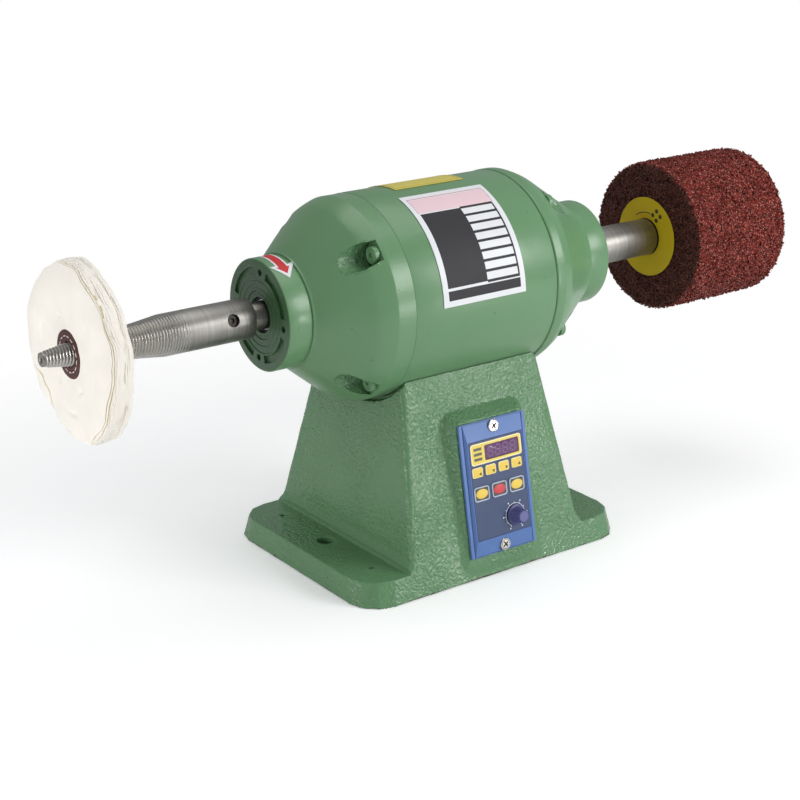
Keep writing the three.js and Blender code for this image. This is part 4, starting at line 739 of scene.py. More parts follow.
def patch(shape, left, right, foot, head, radius, thickness, ink=0):
    """Adds a thin curved sheet between two x and two angles from the front, at a radius."""
    before = set(shape.faces)
    steps = max(2, round((head - foot) / 1.5))
    made = bmesh.ops.create_grid(shape, x_segments=1, y_segments=steps, size=0.5)
    for vert in made["verts"]:
        y, z = around(radius, foot + (head - foot) * (vert.co.y + 0.5))
        vert.co = Vector((left + (right - left) * (vert.co.x + 0.5), y, z))
    for vert in pulled(shape, [face for face in shape.faces if face not in before]):
        widened(vert, (radius + thickness) / radius)
    for face in shape.faces:
        if face not in before:
            face.material_index = ink


def vinyl(name, colour, faded, gloss):
    """Printed vinyl: an even half-gloss film with a faint drift of tone and a very fine tooth."""
    made, spot = bare_material(name)
    cloud = add(made, "TexNoise", {"Vector": spot, "Scale": 1000 / 22, "Detail": 3})
    tone = add(made, "Mix", {0: cloud, 6: linear(colour), 7: linear(faded)}, data_type="RGBA")
    tooth = add(made, "TexNoise", {"Vector": spot, "Scale": 1000 / 1.2, "Detail": 1})
    bump = add(made, "Bump", {"Height": tooth, "Distance": 0.02 * MM, "Strength": 1})
    shader = add(made, "BsdfPrincipled", {"Base Color": tone, "Roughness": gloss, "Normal": bump})
    light_up(made, shader)
    return made


# Inks are flat and one colour each: the black one is the dullest, and the yellow vinyl shines most.
white_vinyl = vinyl("white vinyl", "#e6e7e9", "#dfe1e4", 0.45)
black_ink = vinyl("black printing ink", "#1f1e22", "#28272c", 0.62)
red_ink = vinyl("red printing ink", "#c8566a", "#bd4c60", 0.5)
pink_ink = vinyl("pale pink printing ink", "#e9cdd2", "#e4c4cb", 0.5)
yellow_vinyl = vinyl("yellow vinyl", "#d9cb5c", "#cfbf4a", 0.38)

# Places across are millimetres along the shaft, and places up are degrees from the front.
plate_radius = 74.82
plate_thickness = 0.3
ink_thickness = 0.06
plate = bmesh.new()
patch(plate, -40.2, 33, 2.7, 73.5, plate_radius, plate_thickness)
settle("name_plate_vinyl", on_shaft(plate), "base", [white_vinyl], ["name_plate"])

table_left, table_right = -35.6, 28.6
row_feet = [12.6 + 5.55 * i for i in range(9)]
column = -0.6
rule = 0.75
heading_top, border_top = 68.9, 69.6
print_radius = plate_radius + plate_thickness
table = bmesh.new()


def inked(left, right, foot, head, ink):
    """Prints one field of the table."""
    patch(table, left, right, foot, head, print_radius, ink_thickness, ink)


inked(table_left, table_right, 5.9, 11.1, 0)
inked(table_left, column, row_feet[0], row_feet[-1], 0)
for foot in row_feet:
    inked(column, table_right, foot - rule, foot + rule, 0)
inked(table_right - 1.4, table_right, row_feet[0] - rule, row_feet[-1] + rule, 0)
inked(table_left, table_right, row_feet[-1] + rule, heading_top, 2)
for left, right, foot, head in (
    (table_left - 1, table_right + 1, border_top, 70),
    (table_left - 1, table_left - 0.6, row_feet[-1] + rule, border_top),
    (table_right + 0.6, table_right + 1, row_feet[-1] + rule, border_top),
):
    inked(left, right, foot, head, 1)
settle(
    "name_plate_table", on_shaft(table), "base", [black_ink, red_ink, pink_ink],
    weld=0.0001,
)

strip = bmesh.new()
patch(strip, -33.4, 27.4, 83.7, 110, plate_radius, plate_thickness)
settle("top_label_vinyl", on_shaft(strip), "base", [yellow_vinyl], ["top_label"])
border = bmesh.new()
for left, right, foot, head in (
    (-31.6, 25.6, 85.1, 85.5), (-31.6, 25.6, 108.2, 108.6), (-31.6, -31.1, 85.5, 108.2),
    (25.1, 25.6, 85.5, 108.2),
):
    patch(border, left, right, foot, head, print_radius, ink_thickness)
settle(
    "top_label_border", on_shaft(border), "base",
    [vinyl("olive printing ink", "#a3963a", "#9a8d33", 0.4)], weld=0.0001,
)

# The arrow points the way that the shaft turns, round the left neck.
arrow_centre = -134.6
neck_foot = -housing_half - cone_foot - 0.7


def arrow(shape, shaft_half, head_half, tip, head_base, tail, radius, thickness):
    """Adds a curved arrow on the neck: a strip from tail to head, then a barbed point."""
    count = 14
    stations = [
        (tip + (head_base - tip) * i / count, 0.15 + (head_half - 0.15) * i / count)
        for i in range(count + 1)
    ]
    stations.append((head_base + 0.01, shaft_half))
    stations += [
        (head_base + (tail - head_base) * i / count, shaft_half) for i in range(1, count + 1)
    ]
    rows = len(stations) - 1
    strip = bmesh.ops.create_grid(shape, x_segments=12, y_segments=rows, size=0.5)
    for vert in strip["verts"]:
        angle, half = stations[round((vert.co.y + 0.5) * rows)]
        x = arrow_centre + 2 * vert.co.x * half
        y, z = around(radius + max(0, x - neck_foot), angle)
        vert.co = Vector((x, y, z))
    for vert in pulled(shape, shape.faces[:]):
        widened(vert, (radius + thickness) / radius)


red_vinyl = vinyl("red vinyl", "#cc1a22", "#c0141c", 0.45)
for name, ink, replaced, shaft_half, head_half, tip, head_base, tail, radius, thickness in (
    ("border", white_vinyl, ["rotation_arrow"], 4.7, 9.5, 50.5, 68, 100, 40.15, 0.3),
    ("red", red_vinyl, [], 3.2, 5.2, 56, 65.2, 98.5, 40.46, 0.08),
):
    sheet = bmesh.new()
    arrow(sheet, shaft_half, head_half, tip, head_base, tail, radius, thickness)
    sheet = on_shaft(sheet)
    settle(f"rotation_arrow_{name}", sheet, "base", [ink], replaced, weld=0.0001)

# ---------------------------------------------------------------------------------------------------
# Taper spindle: turned from steel bar, with a ground sleeve over the left stub, a set screw in it, and
# a coarse thread down its taper for a cloth wheel to screw on to.

spindle_mouth = -155
spindle_radius, spindle_bore = 14.5, 10.3
thread_start = -204
thread_pitch = 2.15
thread_depth = 0.85
thread_run_out = 13
screw_place = -172.9
screw_angle = 18.8
screw_hole_radius = 4.6
taper = [(-222, spindle_radius), (-240, 12.2), (-289.6, 8), (-308.7, 5.1)]
spindle_tip, tip_radius = taper[-1]


def taper_radius(x):
    """The spindle's outside radius at an x."""
    if x >= taper[0][0]:
        return taper[0][1]
    for (near, near_radius), (far, far_radius) in zip(taper, taper[1:]):
        if x >= far:
            return near_radius + (far_radius - near_radius) * (near - x) / (near - far)
    return taper[-1][1]


def thread(start, end, pitch, depth, radius_at):
    """A screw thread's ridge as one closed coil along X, cut to follow a radius that changes."""
    lathe, turn_steps = 10, 48
    turns = round(abs(end - start) / pitch)
    lead = (end - start) / turns
    flank = [(-0.49, -depth - 0.1), (-0.17, -0.14), (-0.08, 0)]
    outline = flank + [(-share, rise) for share, rise in reversed(flank)]
    round_once = bmesh.new()
    corners = [
        round_once.verts.new((start + share * lead, 0, lathe + rise)) for share, rise in outline
    ]
    edges = [round_once.edges.new(pair) for pair in zip(corners, corners[1:] + corners[:1])]
    bmesh.ops.spin(
        round_once, geom=corners + edges, cent=(0, 0, 0), axis=(1, 0, 0),
        dvec=(lead / turn_steps, 0, 0), angle=2 * math.pi, steps=turn_steps, use_merge=False,
    )
    coil = joined([moved(round_once.copy(), x=lead * i) for i in range(turns)])
    round_once.free()
    bmesh.ops.remove_doubles(coil, verts=coil.verts, dist=0.01)
    ends = [edge for edge in coil.edges if edge.is_boundary]
    bmesh.ops.holes_fill(coil, edges=ends, sides=len(outline))
    for vert in coil.verts:
        radius = off_axis(vert.co)
        ending = min(1, abs(vert.co.x - start) / pitch, abs(vert.co.x - end) / pitch)
        fresh = radius_at(vert.co.x) + (radius - lathe) - depth * 0.9 * (1 - ending)
        widened(vert, fresh / radius)
    return coil


def cross_drill(x, angle, start, end, radius, segments=32):
    """A rod that stands out from the shaft's line at an x and an angle, for cutting and for screws."""
    tool = bmesh.new()
    outward = Matrix.Translation((x, 0, 0)) @ Matrix.Rotation(math.radians(90 - angle), 4, "X")
    middle = outward @ Matrix.Translation((0, 0, (start + end) / 2))
    pin(tool, middle, end - start, radius, segments)
    return tool


# The bore's cone is left by its drill, and the small hole in the tip by the lathe's centre.
spindle = turned([
    (-190, 0), (-184.8, spindle_bore), (spindle_mouth, spindle_bore),
    (spindle_mouth, spindle_radius), (thread_start, spindle_radius),
    (thread_start - thread_run_out, spindle_radius - thread_depth),
    *[(x, radius - thread_depth) for x, radius in taper[:-1]],
    (spindle_tip + 1.6, tip_radius - thread_depth + 0.2), (spindle_tip + 1.5, tip_radius - 0.1),
    (spindle_tip, tip_radius - 0.4), (spindle_tip, 2.3), (spindle_tip + 1, 1.6),
    (spindle_tip + 8, 1.6), (spindle_tip + 8.5, 0),
], 128)
eased(spindle, 0.3, 2, 40)
spindle = cut(spindle, cross_drill(screw_place, screw_angle, 6, 18, screw_hole_radius))
settle(
    "taper_spindle", on_shaft(spindle), "rotor", [ground_steel], ["buffing_spindle"],
    sharp=28,
)
# Thread steel: cut, not ground, and wet with oil, so that its crests glint over dark hollows.
thread_steel = plain_metal("oily cut steel thread", "#c6c3be", "#8e8b86", (0.22, 0.34), (5, 5, 5))
coil = thread(thread_start, spindle_tip + 1.3, thread_pitch, thread_depth, taper_radius)
settle("taper_spindle_thread", on_shaft(coil), "rotor", [thread_steel], sharp=60)


def set_screw(x, angle, top):
    """A headless screw with a hexagon socket, sunk in its hole."""
    screw = cut(
        cross_drill(x, angle, 10.3, top, 4.2), cross_drill(x, angle, top - 3, top + 2, 2.1, 6),
    )
    return on_shaft(screw)


# Blackened screw steel: nearly black with a dull sheen. The panel screws take it too, in their cross
# and ring recesses, as painted shade.
black_steel_and_recess_shade = plain_metal("blackened screw steel and painted recess shade", "#3f3d3c", "#333130", (0.4, 0.55), (1, 1, 1))
settle(
    "spindle_set_screw_socketed", set_screw(screw_place, screw_angle, 12.2), "rotor",
    [black_steel_and_recess_shade], ["spindle_set_screw"],
)

# ---------------------------------------------------------------------------------------------------
# Cloth wheel: round plies of bleached cotton, sewn together near the middle and loose at the rim,
# where they wave and fray. A leather disc is stitched to each face round the hole.

wheel_near, wheel_far = -287.4, -271.4
wheel_radius = 61
ply_count = 13
ply_thickness = 2.1
ply_bore = 9.6
seam_radii = (26, 40)
# The front ply is torn at one angle of the rim, in radians, and the edge of its tear is coloured darker
# cream there, as painted shade.
notch_angle, notch_width = -0.66, 0.26
shaded_hem_width = 2.1


def scattered(count, make, batch_size=100):
    """Many small shapes as one, made in short batches, which is quicker."""
    batches = []
    for start in range(0, count, batch_size):
        batch = bmesh.new()
        for i in range(start, min(start + batch_size, count)):
            make(batch, i)
        batches.append(batch)
    return joined(batches)


def ply_middle(place, angle, radius):
    """The x of a ply at an angle and a radius; its place runs from -0.5 at the left face to 0.5."""
    share = (radius - ply_bore) / (wheel_radius - ply_bore)
    loose = max(0, (share - 0.35) / 0.65) ** 1.4
    y, z = math.cos(angle), math.sin(angle)
    slow = noise.noise(Vector((1.3 * y, 1.3 * z, 0.5 * place)))
    quick = noise.noise(Vector((3.4 * y, 3.4 * z, 4 + 0.9 * place)))
    fold = noise.noise(Vector((radius / 17 + 5, 2.2 * y, 2.2 * z)))
    notch = math.exp(-(((angle - notch_angle) / notch_width) ** 2)) * (place < 0)
    seam = sum(math.exp(-(((radius - ring) / 1.2) ** 2)) for ring in seam_radii)
    spread = 1 + 0.22 * min(1, max(0, (share - 0.15) / 0.5))
    sway = loose * (4.2 * slow + 1.8 * quick - 2.6 * notch) + 1.1 * fold * min(1, 3 * share)
    held = max(0, 2 * noise.noise(Vector((3 * y, 3 * z, radius / 9))))
    pinch = 2.4 * (2 * place) ** 3 * seam * held
    curl = 9 * place * (2 * place) ** 2 * max(0, (share - 0.7) / 0.3) ** 2
    flat = (wheel_near + wheel_far) / 2 + place * (wheel_far - wheel_near) * spread
    return flat + sway - pinch - curl


def ply_trim(place, angle):
    """How far beyond the wheel's radius a ply's edge ends, as a share of it; the front ply is torn."""
    torn = place < 1 / ply_count - 0.5
    y, z = math.cos(angle), math.sin(angle)
    broad = noise.noise(Vector((2.5 * y, 2.5 * z, 0.3 * ply_count * place)))
    notch = math.exp(-(((angle - notch_angle) / notch_width) ** 4))
    return (0.028 + 0.015 * torn) * broad - 0.05 * (2 * place) ** 4 - (0.01 + 0.2 * torn) * notch


def ply(index):
    """One round of cloth, held flat near the middle and ragged at the rim."""
    steps, rings = 150, 24
    place = (index + 0.5) / ply_count - 0.5
    depth = wheel_radius - ply_bore
    cloth = turned([(0, ply_bore + depth * i / rings) for i in range(rings + 1)], steps)
    for vert in cloth.verts:
        radius = off_axis(vert.co)
        angle = math.atan2(vert.co.z, vert.co.y)
        share = (radius - ply_bore) / depth
        ragged = noise.noise(Vector((9 * math.cos(angle), 9 * math.sin(angle), 0.7 * index)))
        longer = 1 + share**2 * (0.012 * ragged + ply_trim(place, angle))
        vert.co.x = ply_middle(place, angle, radius * longer)
        widened(vert, longer)
    bmesh.ops.solidify(cloth, geom=cloth.faces[:], thickness=ply_thickness)
    # Edge-on faces of the two front plies, and the torn ply's hem, take a darker cream: painted shade
    # on the plies' edges.
    for face in cloth.faces:
        spot = face.calc_center_median()
        angle = math.atan2(spot.z, spot.y)
        edge_on = abs(face.normal.x) < 0.35
        torn = index == 0 and abs(angle - notch_angle) < 1.3 * notch_width
        shaded_hem = off_axis(spot) > wheel_radius * (1 + ply_trim(place, angle)) - shaded_hem_width
        face.material_index = int((index < 2 and edge_on) or (torn and shaded_hem))
    return cloth


# A band of Blender's wave texture repeats every tenth of pi, divided by its scale.
wave_repeat = math.pi / 10
weave_pitch = 1.6


def cotton(name, bright, creamy):
    """Bleached cotton sheeting: off-white, matt and soft, its weave drawn coarse enough to show."""
    made, spot = bare_material(name)
    cloud = add(made, "TexNoise", {"Vector": spot, "Scale": 1000 / 16, "Detail": 4})
    tone = add(made, "Mix", {0: cloud, 6: linear(bright), 7: linear(creamy)}, data_type="RGBA")
    last = None
    for direction in ("Y", "Z"):
        inputs = {"Vector": spot, "Scale": wave_repeat / (weave_pitch * MM), "Distortion": 0.8}
        threads = add(made, "TexWave", inputs, bands_direction=direction)
        inputs = {"Height": threads.outputs["Fac"], "Distance": 0.03 * MM, "Strength": 1}
        if last is not None:
            inputs["Normal"] = last
        last = add(made, "Bump", inputs)
    shader = add(made, "BsdfPrincipled", {
        "Base Color": tone, "Roughness": 0.95, "Specular IOR Level": 0.2,
        "Sheen Weight": 0.4, "Normal": last,
    })
    light_up(made, shader)
    return made


bleached_cotton = cotton("bleached cotton sheeting", "#fdf8ef", "#f6efe3")
# A darker cream for the plies' edges, which is painted shade.
ply_edge_shade = cotton("cotton sheeting darkened as painted shade on ply edges", "#dccfb0", "#c9b993")
settle(
    "cloth_wheel", on_shaft(joined([ply(i) for i in range(ply_count)])), "rotor",
    [bleached_cotton, ply_edge_shade], ["polishing_buff"], weld=0.0001,
)


def leather_disc(near, far):
    """A punched disc of leather with a softened edge."""
    bore, radius = max(taper_radius(near), taper_radius(far)) + 0.3, 16.6
    disc = eased(turned_ring(near, far, bore, radius, 72), 0.45, 3)
    for vert in disc.verts:
        angle = math.atan2(vert.co.z, vert.co.y)
        vert.co.x += 0.12 * noise.noise(vert.co / 4)
        if off_axis(vert.co) > 15:
            wander = noise.noise(Vector((2 * math.cos(angle), 2 * math.sin(angle), near)))
            widened(vert, 1 + 0.03 * wander)
    return on_shaft(disc)


def leather_material():
    """Oak-bark leather dyed dark brown: close pores a millimetre apart and a dull polish."""
    made, spot = bare_material("dark brown leather")
    pores = add(made, "TexVoronoi", {"Vector": spot, "Scale": 1000 / 1.1})
    cloud = add(made, "TexNoise", {"Vector": spot, "Scale": 1000 / 6, "Detail": 3})
    tone = add(made, "Mix", {0: cloud, 6: linear("#3c1e1c"), 7: linear("#542c29")}, data_type="RGBA")
    inputs = {"Height": pores, "Distance": 0.15 * MM, "Strength": 1}
    bump = add(made, "Bump", inputs)
    shader = add(made, "BsdfPrincipled", {"Base Color": tone, "Roughness": 0.62, "Normal": bump})
    light_up(made, shader)
    return made


brown_leather = leather_material()
outer_disc, inner_disc = (-289.3, -287.7), (-271.1, -269.5)
for name, (near, far) in (("outer", outer_disc), ("inner", inner_disc)):
    settle(
        f"buff_{name}_washer_leather", leather_disc(near, far), "rotor", [brown_leather],
        [f"buff_{name}_washer"],
    )


def stitch(shape, place, radius, angle, length, thickness):
    """Adds one stitch that lies across the shaft's line, at a radius and an angle."""
    bmesh.ops.create_icosphere(
        shape,
        subdivisions=1,
        radius=1,
        matrix=Matrix.Translation((place, 0, 0))
        @ Matrix.Rotation(angle, 4, "X")
        @ Matrix.Translation((0, radius, 0))
        @ Matrix.Diagonal((thickness, thickness, length / 2, 1)),
    )


def stitch_ring(place, radius, count):
    """The stitches that hold one leather disc, in a ring on its face."""
    length, thickness = 4.1, 0.42

    def sew(shape, i):
        stitch(shape, place, radius, 2 * math.pi * i / count, length, thickness)

    return scattered(count, sew)


# Waxed linen thread: the cotton's weave with a creamier tone.
waxed_thread = cotton("waxed linen thread", "#f4efe6", "#e2d8c8")
outer_ring = stitch_ring(outer_disc[0] - 0.05, 12.2, 15)
inner_ring = stitch_ring(inner_disc[1] + 0.05, 13.4, 17)
settle(
    "leather_stitches", on_shaft(joined([outer_ring, inner_ring])), "rotor",
    [waxed_thread], weld=0.0001,
)


def seam_stitches(side, radius):
    """Sewing thread that sinks into one face of the wheel, along a ring."""
    stitch_pitch, length, thickness = 4.5, 3.3, 0.3
    count = round(2 * math.pi * radius / stitch_pitch)

    def sew(shape, i):
        angle = 2 * math.pi * i / count
        turn = math.remainder(angle, 2 * math.pi)
        face = ply_middle(side * (0.5 - 0.5 / ply_count), turn, radius) + side * ply_thickness / 2
        stitch(shape, face, radius, angle, length, thickness)

    return scattered(count, sew)


settle(
    "wheel_seam_stitches",
    on_shaft(joined([seam_stitches(side, ring) for side in (-1, 1) for ring in seam_radii])), "rotor",
    [waxed_thread], weld=0.0001,
)

# Frayed threads that stand out of the plies' edges.
fray_count = 1500
fray_dice = random.Random(11)
fray_sunk, fray_root = 2.6, 1.6


def frayed(shape, i):
    """Adds one loose thread, rooted in a ply's edge and leaning at random."""
    place = fray_dice.uniform(-0.46, 0.46)
    angle = fray_dice.uniform(-math.pi, math.pi)
    length = fray_dice.uniform(0.8, 3)
    lean = (fray_dice.uniform(-1.2, 1.2), fray_dice.uniform(-0.9, 0.9))
    foot = wheel_radius * (1 + ply_trim(place, angle)) - fray_sunk
    middle = (
        Matrix.Translation((ply_middle(place, angle, wheel_radius), 0, 0))
        @ Matrix.Rotation(angle - math.pi / 2, 4, "X")
        @ Matrix.Translation((0, 0, foot))
        @ Matrix.Rotation(lean[0], 4, "X")
        @ Matrix.Rotation(lean[1], 4, "Y")
        @ Matrix.Translation((0, 0, length / 2))
    )
    pin(shape, middle, length + fray_root, 0.16, 4, 0.05)


settle(
    "wheel_frayed_threads", on_shaft(scattered(fray_count, frayed)), "rotor",
    [bleached_cotton], weld=0.00001, sharp=180,
)

# ---------------------------------------------------------------------------------------------------
# Arbor: a steel sleeve over the right stub, with a set screw behind. It steps down to the threaded
# stud that carries the drum.

arbor_start, arbor_shoulder, arbor_tip = 146.1, 220.1, 345.1
arbor_radius, arbor_bore, stud_radius = 14.7, 10.3, 9.5
stud_thread_start = 322
stud_pitch, stud_depth = 2, 0.8
arbor_screw_place, arbor_screw_angle = 164, 200

sleeve = turned([
    (190, 0), (184.9, arbor_bore), (arbor_start, arbor_bore), (arbor_start, arbor_radius),
    (arbor_shoulder, arbor_radius), (arbor_shoulder, stud_radius),
    (stud_thread_start, stud_radius), (stud_thread_start + 0.9, stud_radius - stud_depth),
    (arbor_tip - 0.9, stud_radius - stud_depth), (arbor_tip, stud_radius - 1.8), (arbor_tip, 1.6),
    (arbor_tip - 2.2, 0),
], 128)
eased(sleeve, 0.6, 2, 40)
sleeve = cut(sleeve, cross_drill(arbor_screw_place, arbor_screw_angle, 6, 18, screw_hole_radius))
settle(
    "arbor_sleeve_ground", on_shaft(sleeve), "rotor", [ground_steel],
    ["arbor_sleeve"], sharp=28,
)
coil = thread(stud_thread_start, arbor_tip - 1.8, stud_pitch, stud_depth, lambda x: stud_radius)
settle("arbor_stud_thread", on_shaft(coil), "rotor", [thread_steel], sharp=60)
settle(
    "arbor_set_screw_socketed", set_screw(arbor_screw_place, arbor_screw_angle, 13.1), "rotor",
    [black_steel_and_recess_shade], ["arbor_set_screw"],
)

# ---------------------------------------------------------------------------------------------------
# Clamp washer and nut: a turned washer and a black hexagon nut, which hold the drum against the
# sleeve's shoulder.

washer_near, washer_far = 323.1, 326.1
washer_bore, washer_radius = 9.8, 21
nut_near, nut_far = 326.4, 339.4
nut_flats, nut_bore = 24, 9.75

washer = eased(turned_ring(washer_near, washer_far, washer_bore, washer_radius, 120), 0.5, 2)
settle(
    "drum_clamp_washer_plated", on_shaft(washer), "rotor", [zinc_plate],
    ["drum_clamp_washer"],
)


def hexagon_nut(start, end, flats, bore):
    """A hexagon nut along X, its corners chamfered and a plain round hole through it."""
    corner = flats / math.sqrt(3)
    nut = rod(start, end, corner, segments=6)
    # The chamfers of both faces, cut by a turned skin that is wider than the flats in the middle.
    chamfer = 1.5
    skin = turned([
        (start - 1, 0), (start - 1, flats / 2 - 0.6), (start, flats / 2 - 0.2),
        (start + chamfer, corner + 0.6), (end - chamfer, corner + 0.6), (end, flats / 2 - 0.2),
        (end + 1, flats / 2 - 0.6), (end + 1, 0),
    ], 72)
    nut = worked(nut, "BOOLEAN", skin, operation="INTERSECT", solver="EXACT")
    return cut(nut, rod(start - 1, end + 1, bore, segments=64))


settle(
    "arbor_nut_chamfered", on_shaft(hexagon_nut(nut_near, nut_far, nut_flats, nut_bore)), "rotor",
    [black_steel_and_recess_shade], ["arbor_nut"], sharp=20,
)

# ---------------------------------------------------------------------------------------------------
# Abrasive drum: a thick roll of open nonwoven nylon web, loaded with brown grit, bonded round a dark
# resin core. Its surface is a mass of crumbs and pores. A yellow card is stuck to its near face.

drum_near, drum_far = 222.1, 321.1
drum_radius = 60
drum_edge = 3.2
core_near, core_far = 221.9, 322.8
core_bore, core_radius = 9.8, 15.6

core = eased(turned_ring(core_near, core_far, core_bore, core_radius, 96), 0.6, 2)
# Phenolic resin: hard, dark brown and half glossy.
settle(
    "drum_core_moulded", on_shaft(core), "rotor",
    [moulded("dark phenolic resin", "#2a2421", "#1f1a18", 0.5, 0.8, 0.05)], ["drum_core"],
)


def nonwoven(name, pore_shade, crumb, glint):
    """Nonwoven nylon web with brown grit: matt crumbs, near-black painted shade in the hollows of its
    bump, and small painted glints as pale flecks.
    """
    made, spot = bare_material(name)
    inputs = {"Vector": spot, "Scale": 1000 / 1.9, "Detail": 2, "Roughness": 0.6}
    pores = add(made, "TexNoise", inputs)
    cells = add(made, "TexVoronoi", {"Vector": spot, "Scale": 1000 / 1.7})
    # The bump's hollows are coloured near-black, as painted shade; the pale flecks are painted glints.
    dark = add(made, "MapRange", {"Value": pores, "From Min": 0.4, "From Max": 0.52})
    inputs = {"Value": cells, "From Min": 0.16, "From Max": 0.36}
    fleck = add(made, "MapRange", inputs)
    tone = add(made, "Mix", {0: dark, 6: linear(pore_shade), 7: linear(crumb)}, data_type="RGBA")
    final = add(made, "Mix", {0: fleck, 6: linear(glint), 7: tone}, data_type="RGBA")
    bump = add(made, "Bump", {"Height": pores, "Distance": 2 * MM, "Strength": 1})
    shader = add(made, "BsdfPrincipled", {
        "Base Color": final, "Roughness": 0.6, "Specular IOR Level": 0.2, "Normal": bump,
    })
    light_up(made, shader)
    return made


# The roll's side is worn fresh and redder. Its cut faces show the web edge on, darker and browner.
side_web = nonwoven("nonwoven abrasive web, worn side", "#300f09", "#7d281d", "#c78478")
face_web = nonwoven("nonwoven abrasive web, cut face", "#22100d", "#63332a", "#95675a")


def web_profile():
    """The drum's outside from core to core, its edges rounded, a corner about every millimetre."""
    face_steps, bend_steps, side_steps = 36, 4, 86
    depth = drum_radius - drum_edge - core_radius
    length = drum_far - drum_near - 2 * drum_edge
    corners = [(drum_near, core_radius + 0.3)]
    corners += [(drum_near, core_radius + depth * i / face_steps) for i in range(1, face_steps + 1)]
    bend = [math.pi / 2 * i / bend_steps for i in range(1, bend_steps)]
    in_from = [drum_edge * (1 - math.cos(turn)) for turn in bend]
    down_from = [drum_edge * (1 - math.sin(turn)) for turn in bend]
    corners += [(drum_near + x, drum_radius - drop) for x, drop in zip(in_from, down_from)]
    corners += [
        (drum_near + drum_edge + length * i / side_steps, drum_radius) for i in range(side_steps + 1)
    ]
    corners += [(drum_far - x, drum_radius - drop) for x, drop in zip(down_from, in_from)]
    corners += [
        (drum_far, drum_radius - drum_edge - depth * i / face_steps) for i in range(face_steps)
    ]
    corners.append((drum_far, core_radius + 0.3))
    return corners


crumb_relief = 1.1
web = turned(web_profile(), 330, hollow=True)
web.normal_update()
for face in web.faces:
    spot = face.calc_center_median()
    from_face = min(spot.x - drum_near, drum_far - spot.x)
    from_side = drum_radius - off_axis(spot)
    face.material_index = int(from_face - from_side + 6 * noise.noise(spot / 2.4) < 0)
for vert in web.verts:
    if off_axis(vert.co) > core_radius + 1:
        crumbs = noise.noise(vert.co / 2.4) + 0.6 * noise.noise(vert.co / 1.3)
        vert.co -= vert.normal * (crumb_relief - crumb_relief * max(-0.9, min(0.9, crumbs)))
settle(
    "abrasive_web", on_shaft(web), "rotor", [side_web, face_web], ["abrasive_drum"],
    sharp=180,
)

# Crumbs of bonded grit that stand out of the web.
crumb_count = 8600
crumb_dice = random.Random(7)
card_radius = 32
crumbs_inner, crumbs_outer = card_radius + 0.5, drum_radius - 2
side_area = 2 * math.pi * drum_radius * (drum_far - drum_near)
face_area = math.pi * (drum_radius**2 - card_radius**2)


def crumb(shape, i):
    """Adds one lump at random: on the side, or on either face outside the card."""
    draw = crumb_dice.random() * (side_area + 2 * face_area)
    turn = crumb_dice.random() * 2 * math.pi
    before = len(shape.faces)
    if draw < side_area:
        x = drum_near + 1 + crumb_dice.random() * (drum_far - drum_near - 2)
        rim = min(x - drum_near, drum_far - x, drum_edge)
        sunk = drum_edge - math.sqrt(max(0, drum_edge**2 - (drum_edge - rim) ** 2))
        radius = drum_radius - 0.9 - sunk + crumb_dice.random() * 0.7
    else:
        height = 1 - crumb_dice.random() * 0.5
        x = drum_near + height if draw < side_area + face_area else drum_far - height
        spread = crumbs_outer**2 - crumbs_inner**2
        radius = math.sqrt(crumb_dice.random() * spread + crumbs_inner**2)
    size = 0.4 + 0.75 * crumb_dice.random() ** 3
    lean = Vector((crumb_dice.random() - 0.5, crumb_dice.random() - 0.5, crumb_dice.random() + 0.1))
    spin = Matrix.Rotation(crumb_dice.random() * 2 * math.pi, 4, lean)
    stretch = Matrix.Diagonal(
        (size * (0.7 + crumb_dice.random()), size * (0.6 + 0.6 * crumb_dice.random()), size, 1)
    )
    spot = Matrix.Translation((x, radius * math.cos(turn), radius * math.sin(turn)))
    bmesh.ops.create_icosphere(shape, subdivisions=1, radius=1, matrix=spot @ spin @ stretch)
    shape.faces.ensure_lookup_table()
    for face in shape.faces[before:]:
        face.material_index = int(draw >= side_area)


settle(
    "abrasive_crumbs", on_shaft(scattered(crumb_count, crumb, 60)), "rotor",
    [side_web, face_web], weld=0.00001, sharp=180,
)

card_near, card_far, card_bore = 221.3, 221.8, 14.9
# Dull yellow card, printed all over.
settle(
    "drum_card",
    on_shaft(eased(turned_ring(card_near, card_far, card_bore, card_radius, 120), 0.12, 1)), "rotor",
    [vinyl("yellow printed card", "#d8bb00", "#cdae00", 0.8)], ["drum_label"],
)

print_start, print_end = card_near - 0.04, card_near + 0.06
dots_y, dots_z, dot_radius = -11.1, 18.9, 1.8
card_marks = [
    rod(print_start, print_end, dot_radius, y=dots_y + y, z=dots_z + z, segments=24)
    for y, z in ((-4.2, 0), (4.2, 0), (0, -3.8), (0, 3.8))
]
arc = bmesh.new()
patch(arc, print_start, print_end, 78, 128, 19.4, 0.8)
settle(
    "drum_card_print", on_shaft(joined(card_marks + [arc])), "rotor",
    [vinyl("dark olive card ink", "#3b3a12", "#33320e", 0.6)], weld=0.0001,
)

# ---------------------------------------------------------------------------------------------------
# Cable gland: a black nylon gland with a hexagon flange and a domed nut, screwed through the sloping
# back of the base and held by a locknut inside.

gland_across, gland_height = -30, 40
gland_bore, gland_body = 4.2, 7.1
hexagon_flats = 20
# Black nylon: dull, with the fine grain of its mould.
black_nylon = moulded("black nylon", "#232427", "#1c1d20", 0.5, 0.6, 0.04)


def back_frame():
    """The back face's own frame: Z out of the face, with its origin on the gland's axis."""
    half_foot, half_shoulder, shoulder = 93.1, 53.55, 149.28
    lean = math.atan2(half_foot - half_shoulder, shoulder)
    depth = half_foot - (half_foot - half_shoulder) * gland_height / shoulder
    place = Matrix.Translation((gland_across, depth, gland_height))
    return place @ Matrix.Rotation(-math.pi / 2 + lean, 4, "X")


